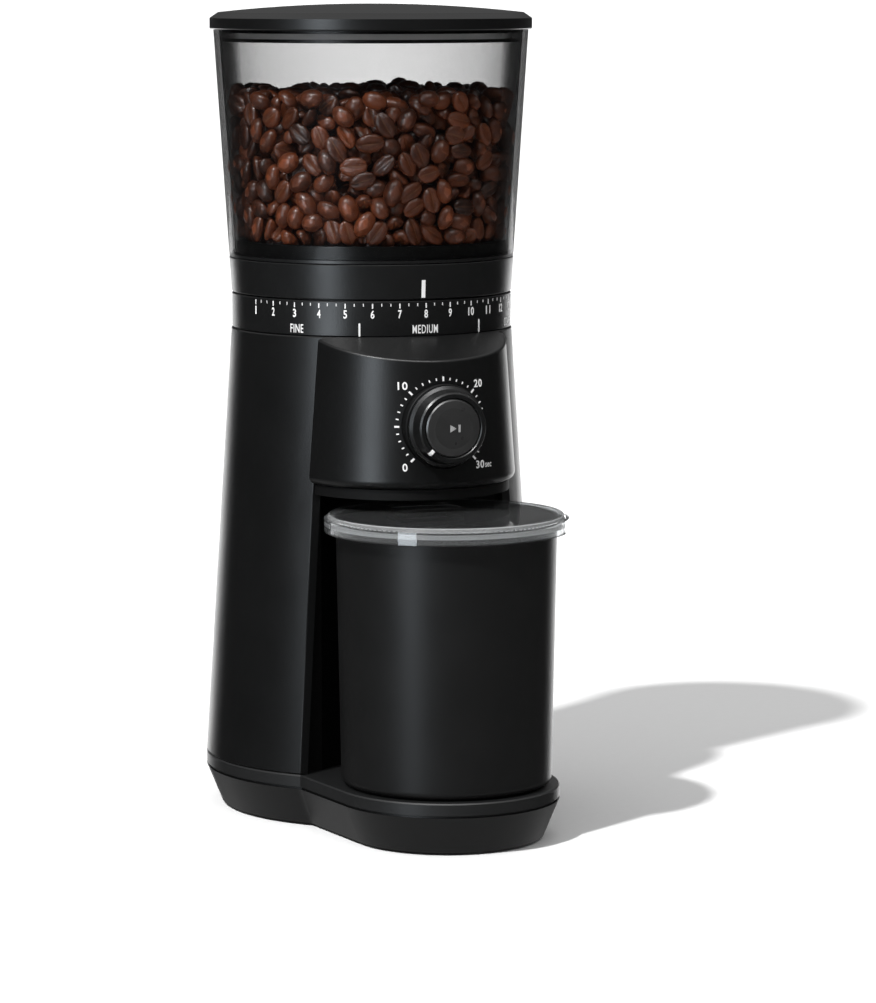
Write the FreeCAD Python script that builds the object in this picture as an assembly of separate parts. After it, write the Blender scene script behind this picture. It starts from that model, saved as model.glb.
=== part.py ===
import FreeCAD, Part
import math
import os
from FreeCAD import Vector

# Burr coffee grinder, millimetres, +Z up, front faces -Y.
# The origin is the centre of the footprint's box, on the surface it stands on.
# "Burr axis" is the vertical axis of the hopper, collar, burrs and body.
# "Container axis" is the vertical axis of the grounds container in front of it.

# ---------------------------------------------------------------- driving sizes
# Clearances
turn_gap = 0.4          # between a turning or sliding part and what it runs in
rest_gap = 0.3          # between faces of pieces that part from each other
seam = 0.2              # assembly gap between fixed shells
shaft_fit = 0.05        # radial running clearance of a shaft in its bush
edge = 0.4              # broken edge of a moulded shell
screw_head = 1.8        # height of a screw's head

# Base
base_radius = 68.0      # rear circle of the base
base_draw = 6.0         # how far the skirt tapers in at its foot
crease_angle = 46.0     # where the rear circle meets the platform's sides, from the front
platform_radius = 44.5  # rounded front of the platform
foot_height = 1.1
skirt_height = 14.7
groove_height = 1.0
groove_depth = 0.9
band_height = 4.7
base_wall = 2.2
crease_round = 6.0
gland_radius = 4.4
gland_bore = 3.2
foot_radius = 6.0
foot_thickness = 2.4
plate_thickness = 2.0

# Grounds container
container_offset = 81.0  # container axis in front of the burr axis
container_radius = 41.3  # at its foot
container_flare = 2.0
container_height = 104.2
container_wall = 1.6
container_round = 3.0
cup_lid_radius = 47.8
cup_lid_plate = 2.0
cup_lid_skirt = 6.5
bay_clearance = 5.0      # above the container's lid

# Body
nose_height = 62.3
nose_back = 36.3         # nose axis in front of the burr axis
nose_radius = 44.4       # at its lower edge
nose_draw = 4.2          # narrower at the top
nose_wall = 2.5
nose_round = 3.2
shoulder_slope = 0.385
panel_wall = 2.2
panel_top_radius = 56.8
panel_front = 44.0       # front edges of the side panel, in front of the burr axis
panel_front_foot = 47.3
liner_radius = 55.0      # hollow behind the container, about the container axis
liner_strip = 40.5
liner_wall = 2.0
underside_height = 4.0
underside_inset = 2.5

# Grind scale ring and collar
ring_radius = 56.5
ring_height = 14.0
ring_wall = 3.4
collar_gap = 0.5
collar_foot_radius = 56.7
collar_radius = 57.5
collar_height = 13.9
mark_width = 1.6
mark_height = 7.0
mark_drop = 2.8          # middle of the collar's mark below the collar's own middle
mark_depth = 0.4

# Hopper
hopper_foot_radius = 57.5
hopper_radius = 63.4
hopper_height = 91.2
hopper_wall = 2.2
hopper_floor = 2.5
spigot_radius = 49.5
throat_radius = 26.0
window_angle = 80.0
lid_radius = 64.9
lid_band = 4.4
lid_chamfer = 2.4
lid_dome = 3.3
lid_top_radius = 60.8
lid_plug = 5.0

# Burrs and grinding chamber
chamber_radius = 35.3
chamber_wall = 2.5
chamber_height = 45.0
carrier_height = 30.0
carrier_travel = 0.8     # each way, over the whole grind scale
ring_burr_radius = 25.0
ring_burr_height = 15.0
ring_burr_bore = 20.0
cone_radius = 19.2
cone_top_radius = 8.0
cone_height = 17.0
shaft_radius = 4.0
impeller_radius = 28.5

# Gear train: module and tooth counts
gear_module = 0.75
pinion_teeth = 12
wheel_teeth = 40
small_teeth = 13
drive_teeth = 52
gear_width = 7.0
backlash = 0.16
axle_radius = 2.5
gearbox_wall = 1.8
gearbox_height = 28.0

# Motor
motor_radius = 24.0
motor_length = 62.0
motor_shaft_radius = 2.5
motor_back = 15.0        # motor axis behind the burr axis
motor_wall = 1.8
cap_height = 5.0

# Inner frame
post_radius = 3.5
post_circle = 48.0
post_angle = 50.0
frame_plate = 3.0
damper_height = 3.0

# Timer dial and button
dial_rise = 29.0         # dial axis above the housing's lower face
dial_radius = 15.9
dial_face_radius = 13.9
dial_depth = 8.0
dial_back_radius = 16.5
button_radius = 11.3
button_stroke = 1.5
dial_shaft_radius = 3.0
zero_angle = 225.0       # dial's zero, anticlockwise from +X seen from the front

# Chute
chute_width = 24.0
chute_height = 13.0
chute_wall = 1.6
chute_reach = 58.0       # outlet's middle, in front of the burr axis

# ---------------------------------------------------------------- worked-out levels
depth = base_radius + container_offset + cup_lid_radius
burr_y = depth / 2 - base_radius
cup_y = burr_y - container_offset
nose_y = burr_y - nose_back
motor_y = burr_y + motor_back

skirt_top = foot_height + skirt_height
band_foot = skirt_top + groove_height
deck = band_foot + band_height
cup_foot = deck + rest_gap
cup_rim = cup_foot + container_height
cup_lid_top = cup_rim + cup_lid_plate
underside = cup_lid_top + bay_clearance
nose_foot = underside + underside_height
ring_foot = underside + nose_height
ring_top = ring_foot + ring_height
collar_foot = ring_top + collar_gap
collar_top = collar_foot + collar_height
hopper_foot = collar_top + rest_gap
hopper_top = collar_top + hopper_height
lid_foot = hopper_top
hopper_rim = lid_foot - rest_gap

chamber_top = ring_foot + rest_gap + chamber_wall
chamber_floor = chamber_top - chamber_height
carrier_foot = chamber_top - 21.0
carrier_top = carrier_foot + carrier_height
gearbox_top = chamber_floor - chamber_wall - screw_head - seam
gearbox_foot = gearbox_top - gearbox_height
frame_top = gearbox_foot
motor_top = frame_top - frame_plate - damper_height
dial_z = underside + dial_rise

ring_inner = ring_radius - ring_wall
flange_radius = ring_inner - seam
collar_bore = spigot_radius + turn_gap
web_bore = chamber_radius - rest_gap
carrier_radius = web_bore - turn_gap


# ---------------------------------------------------------------- shape helpers
def polygon(points):
    """Closed flat face through a list of vectors."""
    return Part.Face(Part.makePolygon(points + [points[0]]))


def cylinder(radius, low, high, x=0.0, y=burr_y):
    return Part.makeCylinder(radius, high - low, Vector(x, y, low))


def cone(low_radius, high_radius, low, high, x=0.0, y=burr_y):
    return Part.makeCone(low_radius, high_radius, high - low, Vector(x, y, low))


def tube(outer, inner, low, high, x=0.0, y=burr_y):
    return cylinder(outer, low, high, x, y).cut(cylinder(inner, low, high, x, y))


def box(x_low, x_high, y_low, y_high, z_low, z_high):
    size = (x_high - x_low, y_high - y_low, z_high - z_low)
    return Part.makeBox(*size, Vector(x_low, y_low, z_low))


def spun(profile, x=0.0, y=burr_y):
    """Solid of revolution from (radius, height) points about a vertical axis."""
    face = polygon([Vector(x + radius, y, height) for radius, height in profile])
    return face.revolve(Vector(x, y, 0), Vector(0, 0, 1), 360)


def spun_forward(profile, z=dial_z):
    """Solid of revolution from (radius, y) points about an axis along Y at a height."""
    face = polygon([Vector(radius, y, z) for radius, y in profile])
    return face.revolve(Vector(0, 0, z), Vector(0, 1, 0), 360)


def rod_forward(radius, y_low, y_high, x=0.0, z=dial_z):
    return Part.makeCylinder(radius, y_high - y_low, Vector(x, y_low, z), Vector(0, 1, 0))


def side_prism(profile, x_low, x_high):
    """Prism along X from (y, z) points."""
    face = polygon([Vector(x_low, y, z) for y, z in profile])
    return face.extrude(Vector(x_high - x_low, 0, 0))


def joined(shapes):
    """One solid from several that touch or overlap."""
    first = shapes[0]
    if len(shapes) == 1:
        return first
    return first.fuse(shapes[1:]).removeSplitter()


def turned(shape, angle, x=0.0, y=burr_y):
    copy = shape.copy()
    copy.rotate(Vector(x, y, 0), Vector(0, 0, 1), angle)
    return copy


def around(shape, count, x=0.0, y=burr_y, start=0.0):
    return [turned(shape, start + 360.0 * n / count, x, y) for n in range(count)]


def on_circle(radius, angle, x=0.0, y=burr_y):
    """Point on a circle, with the angle measured from the front towards +X."""
    turn = math.radians(angle)
    return x + radius * math.sin(turn), y - radius * math.cos(turn)


def polar_point(radius, angle, x, y, z):
    turn = math.radians(angle)
    return Vector(x + radius * math.cos(turn), y + radius * math.sin(turn), z)


def save(name, shape):
    """Write one node and stop on a broken solid."""
    solids = shape.Solids
    if not solids or not all(solid.isValid() and solid.isClosed() for solid in solids):
        raise ValueError(name + " is not a closed, valid solid")
    if len(solids) == 1:
        shape = solids[0]
    else:
        shape = Part.makeCompound(solids)
    shape.exportStep("parts/" + name + ".step")
    print(name, len(solids), round(shape.Volume))


# ---------------------------------------------------------------- base
def base_outline(inset, height):
    """Plan of the base: rear circle, straight sides and rounded platform, set in evenly."""
    crease_x = base_radius * math.sin(math.radians(crease_angle))
    crease_y = container_offset - base_radius * math.cos(math.radians(crease_angle))
    bearing = math.atan2(crease_y, crease_x)
    lean = math.acos(platform_radius / math.hypot(crease_x, crease_y))
    normal = Vector(math.cos(bearing - lean), math.sin(bearing - lean), 0)
    along = Vector(-normal.y, normal.x, 0)
    front = platform_radius - inset
    rear = base_radius - inset
    touch = normal * front
    # where the straight side meets the rear circle
    to_rear = touch - Vector(0, container_offset, 0)
    half = to_rear.dot(along)
    root = math.sqrt(half * half - to_rear.dot(to_rear) + rear * rear)
    crease = touch + along * (-half - root)
    centre = Vector(0, cup_y, height)
    right_touch = centre + touch
    right_crease = centre + crease
    left_touch = centre + Vector(-touch.x, touch.y, 0)
    left_crease = centre + Vector(-crease.x, crease.y, 0)
    back = Vector(0, burr_y + rear, height)
    tip = Vector(0, cup_y - front, height)
    edges = [
        Part.Arc(right_crease, back, left_crease).toShape(),
        Part.LineSegment(left_crease, left_touch).toShape(),
        Part.Arc(left_touch, tip, right_touch).toShape(),
        Part.LineSegment(right_touch, right_crease).toShape(),
    ]
    return Part.Wire(edges)


def base_block(inset, low, high):
    return Part.Face(base_outline(inset, low)).extrude(Vector(0, 0, high - low))


def base_taper(low_inset, high_inset, low, high):
    wires = [base_outline(low_inset, low), base_outline(high_inset, high)]
    return Part.makeLoft(wires, True, True)


def crease_edges(shape, low, high):
    """The two upright edges where the rear circle meets the straight sides."""
    found = []
    for line in shape.Edges:
        bounds = line.BoundBox
        upright = bounds.ZLength > 0.9 * (high - low)
        at_crease = bounds.YMin > cup_y + 10 and abs(bounds.Center.x) > 20
        if upright and at_crease:
            found.append(line)
    return found


def foot_places():
    """Centres of the feet: three under the body and two under the platform."""
    rear = base_radius - base_draw - foot_radius - 4
    front = platform_radius - base_draw - foot_radius - 4
    places = [on_circle(rear, angle) for angle in (180, 115, -115)]
    places += [on_circle(front, angle, 0, cup_y) for angle in (38, -38)]
    return places


def screw_places():
    rear = base_radius - base_draw - 12
    front = platform_radius - base_draw - 8
    places = [on_circle(rear, angle) for angle in (150, 75, -75)]
    return places + [on_circle(front, 0, 0, cup_y)]


def make_base():
    wall_top = skirt_top
    outer = base_taper(base_draw, 0, foot_height, wall_top)
    outer = outer.makeFillet(crease_round, crease_edges(outer, foot_height, wall_top))
    inner = base_taper(base_draw + base_wall, base_wall, foot_height, wall_top)
    skirt = outer.cut(inner)
    rear = burr_y + base_radius
    gland_hole = rod_forward(gland_radius, rear - 14, rear, 0, gland_level())
    save("base_skirt", skirt.cut(gland_hole))
    sleeve = rod_forward(gland_radius - seam / 2, rear - 14, rear - 0.6, 0, gland_level())
    flange = rod_forward(gland_radius + 0.8, rear - 10.5, rear - 8, 0, gland_level())
    passage = rod_forward(gland_bore, rear - 15, rear, 0, gland_level())
    save("cord_gland", joined([sleeve, flange]).cut(passage))

    neck_depth = 2.0
    neck_inset = base_wall + seam + base_draw * neck_depth / skirt_height
    band = base_block(0, band_foot, deck)
    rim = [line for line in band.Edges if line.BoundBox.ZMin > deck - 0.01]
    band = band.makeChamfer(edge + 0.1, rim)
    groove = base_block(groove_depth, skirt_top, band_foot)
    neck = base_block(neck_inset, skirt_top - neck_depth, skirt_top)
    cavity = base_block(neck_inset + base_wall, skirt_top - neck_depth, deck - base_wall)
    save("base_tray", joined([band, groove, neck]).cut(cavity))

    plate_low = foot_height - 0.1
    plate = base_block(base_draw + base_wall + seam, plate_low, plate_low + plate_thickness)
    feet = []
    for x, y in foot_places():
        pocket_depth = foot_thickness - plate_low
        plate = plate.cut(cylinder(foot_radius + seam, plate_low, pocket_depth + plate_low - 0.6, x, y))
        foot = spun([(0, 0), (foot_radius - 0.7, 0), (foot_radius, 0.7),
                     (foot_radius, foot_thickness - 0.7), (0, foot_thickness - 0.7)], x, y)
        feet.append(foot)
    screws = []
    for x, y in screw_places():
        plate = plate.cut(cylinder(1.8, plate_low, plate_low + plate_thickness, x, y))
        shank = cylinder(1.5, plate_low, skirt_top - 4, x, y)
        head = cylinder(3.2, foot_height - 0.9, plate_low, x, y)
        slot = box(x - 2.2, x + 2.2, y - 0.4, y + 0.4, foot_height - 0.9, foot_height - 0.4)
        screws.append(joined([shank, head]).cut(slot))
    save("bottom_plate", plate)
    save("rubber_feet", Part.makeCompound(feet))
    save("bottom_screws", Part.makeCompound(screws))


def gland_level():
    """Height of the cord's way out, midway between the bottom plate and the tray."""
    return foot_height + skirt_height / 2 - 0.2


# ---------------------------------------------------------------- outer shells
def panel_radius(height):
    """Outer radius of the side panel at a height."""
    low = deck + rest_gap
    share = (height - low) / (ring_foot - low)
    return base_radius + (panel_top_radius - base_radius) * share


def make_side_panel():
    low = deck + rest_gap
    high = ring_foot - seam
    foot = base_radius
    top = panel_radius(high)
    shell = spun([(foot - panel_wall, low), (foot - edge, low), (foot, low + edge),
                  (top, high - edge), (top - edge, high), (top - panel_wall, high)])
    front = burr_y - 2 * base_radius
    opening = side_prism([(front, low - 5), (burr_y - panel_front_foot, low - 5),
                          (burr_y - panel_front_foot, low), (burr_y - panel_front, underside),
                          (burr_y - panel_front, high + 5), (front, high + 5)],
                         -base_radius, base_radius)
    panel = shell.cut(opening)
    uprights = []
    for line in panel.Edges:
        bounds = line.BoundBox
        reach = math.hypot(bounds.Center.x, bounds.Center.y - burr_y)
        outside = reach > panel_radius(bounds.Center.z) - 0.3
        if bounds.ZLength > 20 and outside and bounds.Center.y < burr_y - 30:
            uprights.append(line)
    save("side_panel", panel.makeFillet(0.7, uprights))


def nose_cone(inset, low, high):
    """The nose's tapering body, set in evenly."""
    slope = nose_draw / (ring_foot - nose_foot)
    low_radius = nose_radius - slope * (low - nose_foot) - inset
    high_radius = nose_radius - slope * (high - nose_foot) - inset
    return cone(low_radius, high_radius, low, high, 0, nose_y)


def under_shoulder(drop):
    """Everything below the shoulder: level under the ring, then sloping down outwards."""
    reach = 2 * base_radius
    start = ring_radius
    top = ring_foot - drop
    return spun([(0, underside - 5), (reach, underside - 5),
                 (reach, top - shoulder_slope * (reach - start)), (start, top), (0, top)])


def nose_front(height):
    """Y of the nose's surface at its middle, at a height."""
    slope = nose_draw / (ring_foot - nose_foot)
    return nose_y - nose_radius + slope * (height - nose_foot)


def make_front_housing():
    outer = nose_cone(0, nose_foot, ring_foot).common(under_shoulder(0))
    lower = [line for line in outer.Edges if line.BoundBox.ZMax < nose_foot + 0.01]
    outer = outer.makeFillet(nose_round, lower)
    ridge = [line for line in outer.Edges
             if line.BoundBox.ZMin < ring_foot - 4 and line.BoundBox.ZMin > dial_z + 5
             and line.BoundBox.XLength > 40]
    outer = outer.makeFillet(1.2, ridge)
    floor = nose_foot + nose_wall
    hollow = nose_cone(nose_wall, floor, ring_foot).common(under_shoulder(nose_wall))
    mouth = cylinder(nose_radius - 3 * nose_wall, nose_foot - 1, floor + 1, 0, nose_y)
    behind = box(-base_radius, base_radius, burr_y - panel_front - seam, burr_y + base_radius,
                 underside - 5, ring_foot + 5)
    dial_hole = rod_forward(dial_back_radius + seam, nose_front(dial_z) - 5, nose_front(dial_z) + 14)
    housing = outer.cut(hollow).cut(mouth).cut(behind).cut(dial_hole)
    save("front_housing", housing)

    lip = underside_inset
    disc = cylinder(nose_radius - lip, underside, nose_foot, 0, nose_y)
    panel_edge = burr_y - panel_front - seam
    low = underside - 1
    high = nose_foot + 1
    front_part = box(-base_radius, base_radius, cup_y - base_radius, panel_edge, low, high)
    rear_part = box(-base_radius, base_radius, panel_edge, burr_y - liner_back() + liner_wall, low, high)
    inside_panel = cylinder(panel_radius(nose_foot) - panel_wall - seam, underside, nose_foot)
    plate = joined([disc.common(front_part), inside_panel.common(rear_part)])
    outlet = chute_duct(seam, chute_wall)
    posts = [cylinder(post_radius + seam, low, high, x, y) for x, y in post_places()]
    save("housing_underside", plate.cut([outlet] + posts))


def liner_back():
    """How far in front of the burr axis the liner's middle stands."""
    return container_offset - liner_radius


def make_liner():
    low = deck
    high = underside
    inset = panel_wall + seam
    inner_cone = cone(panel_radius(low) - inset, panel_radius(high) - inset, low, high)
    reach = 2 * base_radius

    def hollow_side(radius, strip):
        """What stands in front of the liner's wall."""
        round_part = cylinder(radius, low, high, 0, cup_y)
        front = box(-reach, reach, burr_y - reach, burr_y - strip, low, high)
        return joined([round_part, front])

    wall = hollow_side(liner_radius + liner_wall, liner_strip - liner_wall)
    wall = wall.cut(hollow_side(liner_radius, liner_strip))
    save("recess_liner", wall.common(inner_cone))


# ---------------------------------------------------------------- scale ring and collar
def make_scale_ring():
    ledge = ring_foot + rest_gap + chamber_wall
    ring = spun([(ring_inner, ring_foot), (ring_radius - edge, ring_foot),
                 (ring_radius, ring_foot + edge), (ring_radius, ring_top - edge),
                 (ring_radius - edge, ring_top), (ring_inner, ring_top),
                 (ring_inner, ledge + chamber_wall), (collar_bore, ledge + chamber_wall),
                 (collar_bore, ledge), (ring_inner, ledge)])
    save("scale_ring", ring)


def web_level():
    """Lower face of the collar's web, clear of the scale ring's ledge."""
    return ring_foot + rest_gap + 2 * chamber_wall + rest_gap


def make_collar():
    low = web_level()
    skirt_radius = ring_inner - turn_gap
    web_top = low + 3.0
    collar = spun([(web_bore, low), (skirt_radius, low), (skirt_radius, collar_foot),
                   (collar_foot_radius - edge, collar_foot), (collar_foot_radius, collar_foot + edge),
                   (collar_radius, collar_top - edge), (collar_radius - edge, collar_top),
                   (collar_bore, collar_top), (collar_bore, web_top), (web_bore, web_top)])
    middle = (collar_foot + collar_top) / 2 - mark_drop
    slot = box(-mark_width / 2, mark_width / 2,
               burr_y - collar_radius - 1, burr_y - collar_foot_radius + mark_depth,
               middle - mark_height / 2, middle + mark_height / 2)
    mark = collar.common(slot)
    save("grind_collar", collar.cut(slot))
    save("collar_mark", mark)


# ---------------------------------------------------------------- hopper and lid
def floor_level():
    """Top of the hopper's flat floor."""
    return collar_top - 7.2


def window(low, high):
    """One of the two fan-shaped windows that let beans through."""
    outer = throat_radius - 3
    inner = 7.0
    fan = cylinder(outer, low, high).cut(cylinder(inner, low, high))
    half = window_angle / 2
    corner = 2 * outer
    edge_x = corner * math.sin(math.radians(half))
    edge_y = corner * math.cos(math.radians(half))
    wedge = polygon([Vector(0, burr_y, low), Vector(-edge_x, burr_y - edge_y, low),
                     Vector(edge_x, burr_y - edge_y, low)]).extrude(Vector(0, 0, high - low))
    return fan.common(wedge)


def windows(low, high, turn=90.0):
    one = window(low, high)
    return joined([turned(one, turn)]).fuse(turned(one, turn + 180.0))


def make_hopper():
    flange_top = hopper_foot + 1.2
    share = (hopper_radius - hopper_foot_radius) / (hopper_top - hopper_foot)
    foot_radius_here = hopper_foot_radius + share * (flange_top - hopper_foot)
    cup_base = foot_radius_here - hopper_wall
    base_top = hopper_foot + 6.6
    hopper = spun([(cup_base, flange_top), (foot_radius_here, flange_top), (hopper_radius, hopper_rim),
                   (hopper_radius - hopper_wall, hopper_rim), (cup_base, base_top)])
    save("hopper", hopper)

    floor_top = floor_level()
    under = floor_top - hopper_floor
    rim = cup_base - seam / 2
    lip = rim - 3.2
    spigot_foot = under
    inner = spigot_radius - hopper_wall
    rise = (base_top - floor_top) / (lip - throat_radius)
    inner_top = floor_top + rise * (inner - throat_radius) - hopper_floor
    base = spun([(0, under), (throat_radius + 0.5, under), (inner, inner_top), (inner, spigot_foot),
                 (spigot_radius, spigot_foot), (spigot_radius, hopper_foot),
                 (foot_radius_here - 0.1, hopper_foot),
                 (foot_radius_here - 0.1, flange_top), (rim, flange_top), (rim, base_top), (lip, base_top),
                 (throat_radius, floor_top), (0, floor_top)])
    pin = 3.0
    base = base.cut(windows(under - 1, floor_top + 1))
    save("hopper_base", base.cut(cylinder(pin + shaft_fit, under - 1, floor_top + 1)))

    gate_top = under - turn_gap
    gate_foot = gate_top - 2.2
    gate = cylinder(throat_radius - 0.6, gate_foot, gate_top).cut(windows(gate_foot, gate_top))
    stem = cylinder(pin, gate_top, floor_top + turn_gap)
    head = spun([(0, floor_top + turn_gap), (5.0, floor_top + turn_gap), (5.0, floor_top + 1.4),
                 (3.6, floor_top + 2.4), (0, floor_top + 2.4)])
    save("hopper_gate", gate)
    save("gate_rivet", joined([stem, head]))


def make_lid():
    band_top = lid_foot + lid_band
    shoulder = band_top + lid_chamfer
    # radius of the dome through its rim and its crown
    dome_radius = (lid_top_radius ** 2 + lid_dome ** 2) / (2 * lid_dome)
    crown = shoulder + lid_dome
    body = spun([(0, lid_foot), (lid_radius - edge, lid_foot), (lid_radius, lid_foot + edge),
                 (lid_radius, band_top), (lid_top_radius + 0.6, shoulder), (lid_top_radius, shoulder + 0.2),
                 (lid_top_radius, crown), (0, crown)])
    ball = Part.makeSphere(dome_radius, Vector(0, burr_y, crown - dome_radius))
    body = body.common(ball)
    hollow_radius = hopper_radius - hopper_wall - 3.6
    hollow = cylinder(hollow_radius, lid_foot - lid_plug, lid_foot + 2.2)
    plug_radius = hopper_radius - hopper_wall - 1.3
    plug = cylinder(plug_radius, lid_foot - lid_plug, lid_foot)
    groove = tube(plug_radius, plug_radius - 1.0, lid_foot - 3.6, lid_foot - 1.4)
    save("hopper_lid", joined([body, plug]).cut(hollow).cut(groove))
    seal_radius = hopper_radius - hopper_wall - 0.7
    save("hopper_lid_seal", tube(seal_radius, plug_radius - 1.0, lid_foot - 3.6, lid_foot - 1.4))


# ---------------------------------------------------------------- burrs
def flute(low_radius, high_radius, low, high, twist, depth, half_width):
    """Triangular cutter that runs up a cone with a twist; a negative depth cuts outwards."""
    angle = math.degrees(half_width / low_radius)
    start_in = polar_point(low_radius - depth, 0, 0, burr_y, low)
    start_a = polar_point(low_radius + 0.2 * depth, angle, 0, burr_y, low)
    start_b = polar_point(low_radius + 0.2 * depth, -angle, 0, burr_y, low)
    travel = polar_point(high_radius, twist, 0, burr_y, high) - polar_point(low_radius, 0, 0, burr_y, low)
    return polygon([start_in, start_a, start_b]).extrude(travel)


def make_cone_burr():
    low = carrier_foot - 0.5
    high = low + cone_height
    body = spun([(shaft_radius, low), (cone_radius - 1.2, low), (cone_radius, low + 1.2),
                 (cone_radius, low + 3.0), (cone_top_radius, high), (shaft_radius, high)])
    coarse = flute(cone_radius - 0.5, cone_top_radius, low + 2.0, high + 1.5, 24, 2.4, 2.8)
    fine = flute(cone_radius + 0.3, cone_radius + 0.3, low - 0.5, low + 3.4, 5, 1.3, 0.8)
    cutters = around(coarse, 8) + around(fine, 32, start=3.0)
    save("cone_burr", body.cut(cutters))
    return low, high


def make_ring_burr():
    low = carrier_foot
    high = low + ring_burr_height
    body = spun([(ring_burr_bore, low), (ring_burr_radius - 0.5, low), (ring_burr_radius, low + 0.5),
                 (ring_burr_radius, high), (ring_burr_bore + 2.6, high)])
    cutter = flute(ring_burr_bore, ring_burr_bore + 2.4, low - 0.5, high + 0.5, 14, -1.1, 1.3)
    save("ring_burr", body.cut(around(cutter, 24)))
    return low, high


def make_carrier(burr_low, burr_high):
    seat = ring_burr_radius + shaft_fit
    lip = ring_burr_radius - 1.4
    carrier = spun([(seat, carrier_foot), (carrier_radius, carrier_foot), (carrier_radius, carrier_top),
                    (throat_radius + 3, carrier_top), (lip, burr_high + 4), (lip, burr_high),
                    (seat, burr_high)])
    screws = []
    holes = []
    for angle in (60.0, 180.0, 300.0):
        x, y = on_circle(seat + 2.0, angle)
        holes.append(cylinder(1.4, carrier_foot, carrier_foot + 8, x, y))
        head = cylinder(2.6, carrier_foot - screw_head, carrier_foot, x, y)
        slot = box(x - 1.8, x + 1.8, y - 0.35, y + 0.35, carrier_foot - screw_head, carrier_foot - 1.1)
        screws.append(joined([holes[-1], head]).cut(slot))
    save("burr_carrier", carrier.cut(holes))
    save("ring_burr_screws", Part.makeCompound(screws))


def make_carrier_spring():
    """Two and a half turns that push the carrier up against its thread."""
    ledge = carrier_foot - 8.2 - carrier_travel
    wire = 0.7
    radius = carrier_radius - wire - 0.6
    low = ledge + wire + 0.05
    high = carrier_foot - wire - 0.05
    helix = Part.makeHelix((high - low) / 2.5, high - low, radius)
    helix.translate(Vector(0, burr_y, low))
    start = Vector(radius, burr_y, low)
    corners = [start + Vector(-wire, 0, -wire), start + Vector(wire, 0, -wire),
               start + Vector(wire, 0, wire), start + Vector(-wire, 0, wire)]
    section = Part.makePolygon(corners + [corners[0]])
    spring = Part.Wire(helix).makePipeShell([section], True, True)
    save("carrier_spring", spring)
    return ledge


def make_chamber(ledge):
    outer = chamber_radius + chamber_wall
    ledge_inner = impeller_radius + 1.0
    floor = chamber_floor
    profile = [(0, floor - chamber_wall), (outer, floor - chamber_wall), (outer, chamber_top - chamber_wall),
               (flange_radius, chamber_top - chamber_wall), (flange_radius, chamber_top),
               (chamber_radius, chamber_top), (chamber_radius, ledge), (ledge_inner, ledge),
               (ledge_inner, ledge - 2), (chamber_radius, ledge - 2), (chamber_radius, floor), (0, floor)]
    chamber = spun(profile)
    bush_hole = cylinder(bush_radius(), floor - chamber_wall - 1, floor + 1)
    save("grind_chamber", chamber.cut(bush_hole).cut(chute_passage()))


def bush_radius():
    return 2 * shaft_radius


def make_shaft_parts(cone_low, cone_high):
    shaft_foot = gearbox_foot + gearbox_wall + 0.5
    auger_top = cone_high + 9.0
    nut_top = auger_top + 4.0
    shaft = cylinder(shaft_radius, shaft_foot, nut_top + 0.6)
    save("burr_shaft", shaft)
    hub = cylinder(shaft_radius + 3, cone_high, auger_top).cut(cylinder(shaft_radius, cone_high, auger_top))
    blade = Part.makeBox(9.0, 1.8, 8.0, Vector(shaft_radius + 1, -0.9, 0))
    blade.rotate(Vector(0, 0, 4), Vector(1, 0, 0), 35)
    blade.translate(Vector(0, burr_y, cone_high + 0.6))
    save("feed_auger", joined([hub] + around(blade, 2)))
    corners = [polar_point(7.0, 60.0 * n, 0, burr_y, auger_top) for n in range(6)]
    nut = polygon(corners).extrude(Vector(0, 0, nut_top - auger_top))
    save("burr_nut", nut.cut(cylinder(shaft_radius, auger_top, nut_top)))
    floor = chamber_floor
    hub_foot = floor + 0.7
    impeller = tube(impeller_radius, shaft_radius, hub_foot, hub_foot + 1.6)
    boss = tube(shaft_radius + 4, shaft_radius, hub_foot, cone_low)
    vane = box(shaft_radius + 1, impeller_radius - 0.5, burr_y - 0.9, burr_y + 0.9, hub_foot, hub_foot + 6)
    save("grounds_impeller", joined([impeller, boss] + around(vane, 6)).cut(
        cylinder(shaft_radius, hub_foot - 1, cone_low + 1)))
    bore = shaft_radius + shaft_fit
    upper = tube(bush_radius(), bore, floor - chamber_wall - 1.5, floor)
    lower = tube(bush_radius(), bore, gearbox_foot + gearbox_wall, gearbox_foot + gearbox_wall + 5)
    save("shaft_bearings", Part.makeCompound([upper, lower]))


# ---------------------------------------------------------------- gear train
def wheel_place():
    """Axis of the compound gear, from the two centre distances."""
    to_drive = gear_module * (small_teeth + drive_teeth) / 2
    to_motor = gear_module * (pinion_teeth + wheel_teeth) / 2
    along = (to_drive ** 2 - to_motor ** 2 + motor_back ** 2) / (2 * motor_back)
    across = math.sqrt(to_drive ** 2 - along ** 2)
    return across, burr_y + along


def tip_radius(teeth):
    return gear_module * (teeth / 2 + 1)


def gear(teeth, phase, bore, low, high, x, y):
    """Spur gear with straight-flanked teeth; one tooth points along the phase angle."""
    pitch = gear_module * teeth / 2
    lean = math.tan(math.radians(20))
    half = math.pi * gear_module / 4 - backlash / 2
    stations = [(pitch - 1.2 * gear_module, half + 1.0 * gear_module * lean),
                (pitch, half), (pitch + gear_module, half - gear_module * lean - 0.04)]
    points = []
    for n in range(teeth):
        middle = phase + 360.0 * n / teeth
        for radius, width in stations:
            points.append(polar_point(radius, middle - math.degrees(width / radius), x, y, low))
        for radius, width in reversed(stations):
            points.append(polar_point(radius, middle + math.degrees(width / radius), x, y, low))
    body = polygon(points).extrude(Vector(0, 0, high - low))
    return body.cut(cylinder(bore, low - 1, high + 1, x, y))


def gear_levels():
    """Heights of the two meshes: the motor's below, the burr's above."""
    lower = gearbox_foot + gearbox_wall + 3.0
    upper = lower + gear_width + 4.0
    return lower, upper


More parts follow.
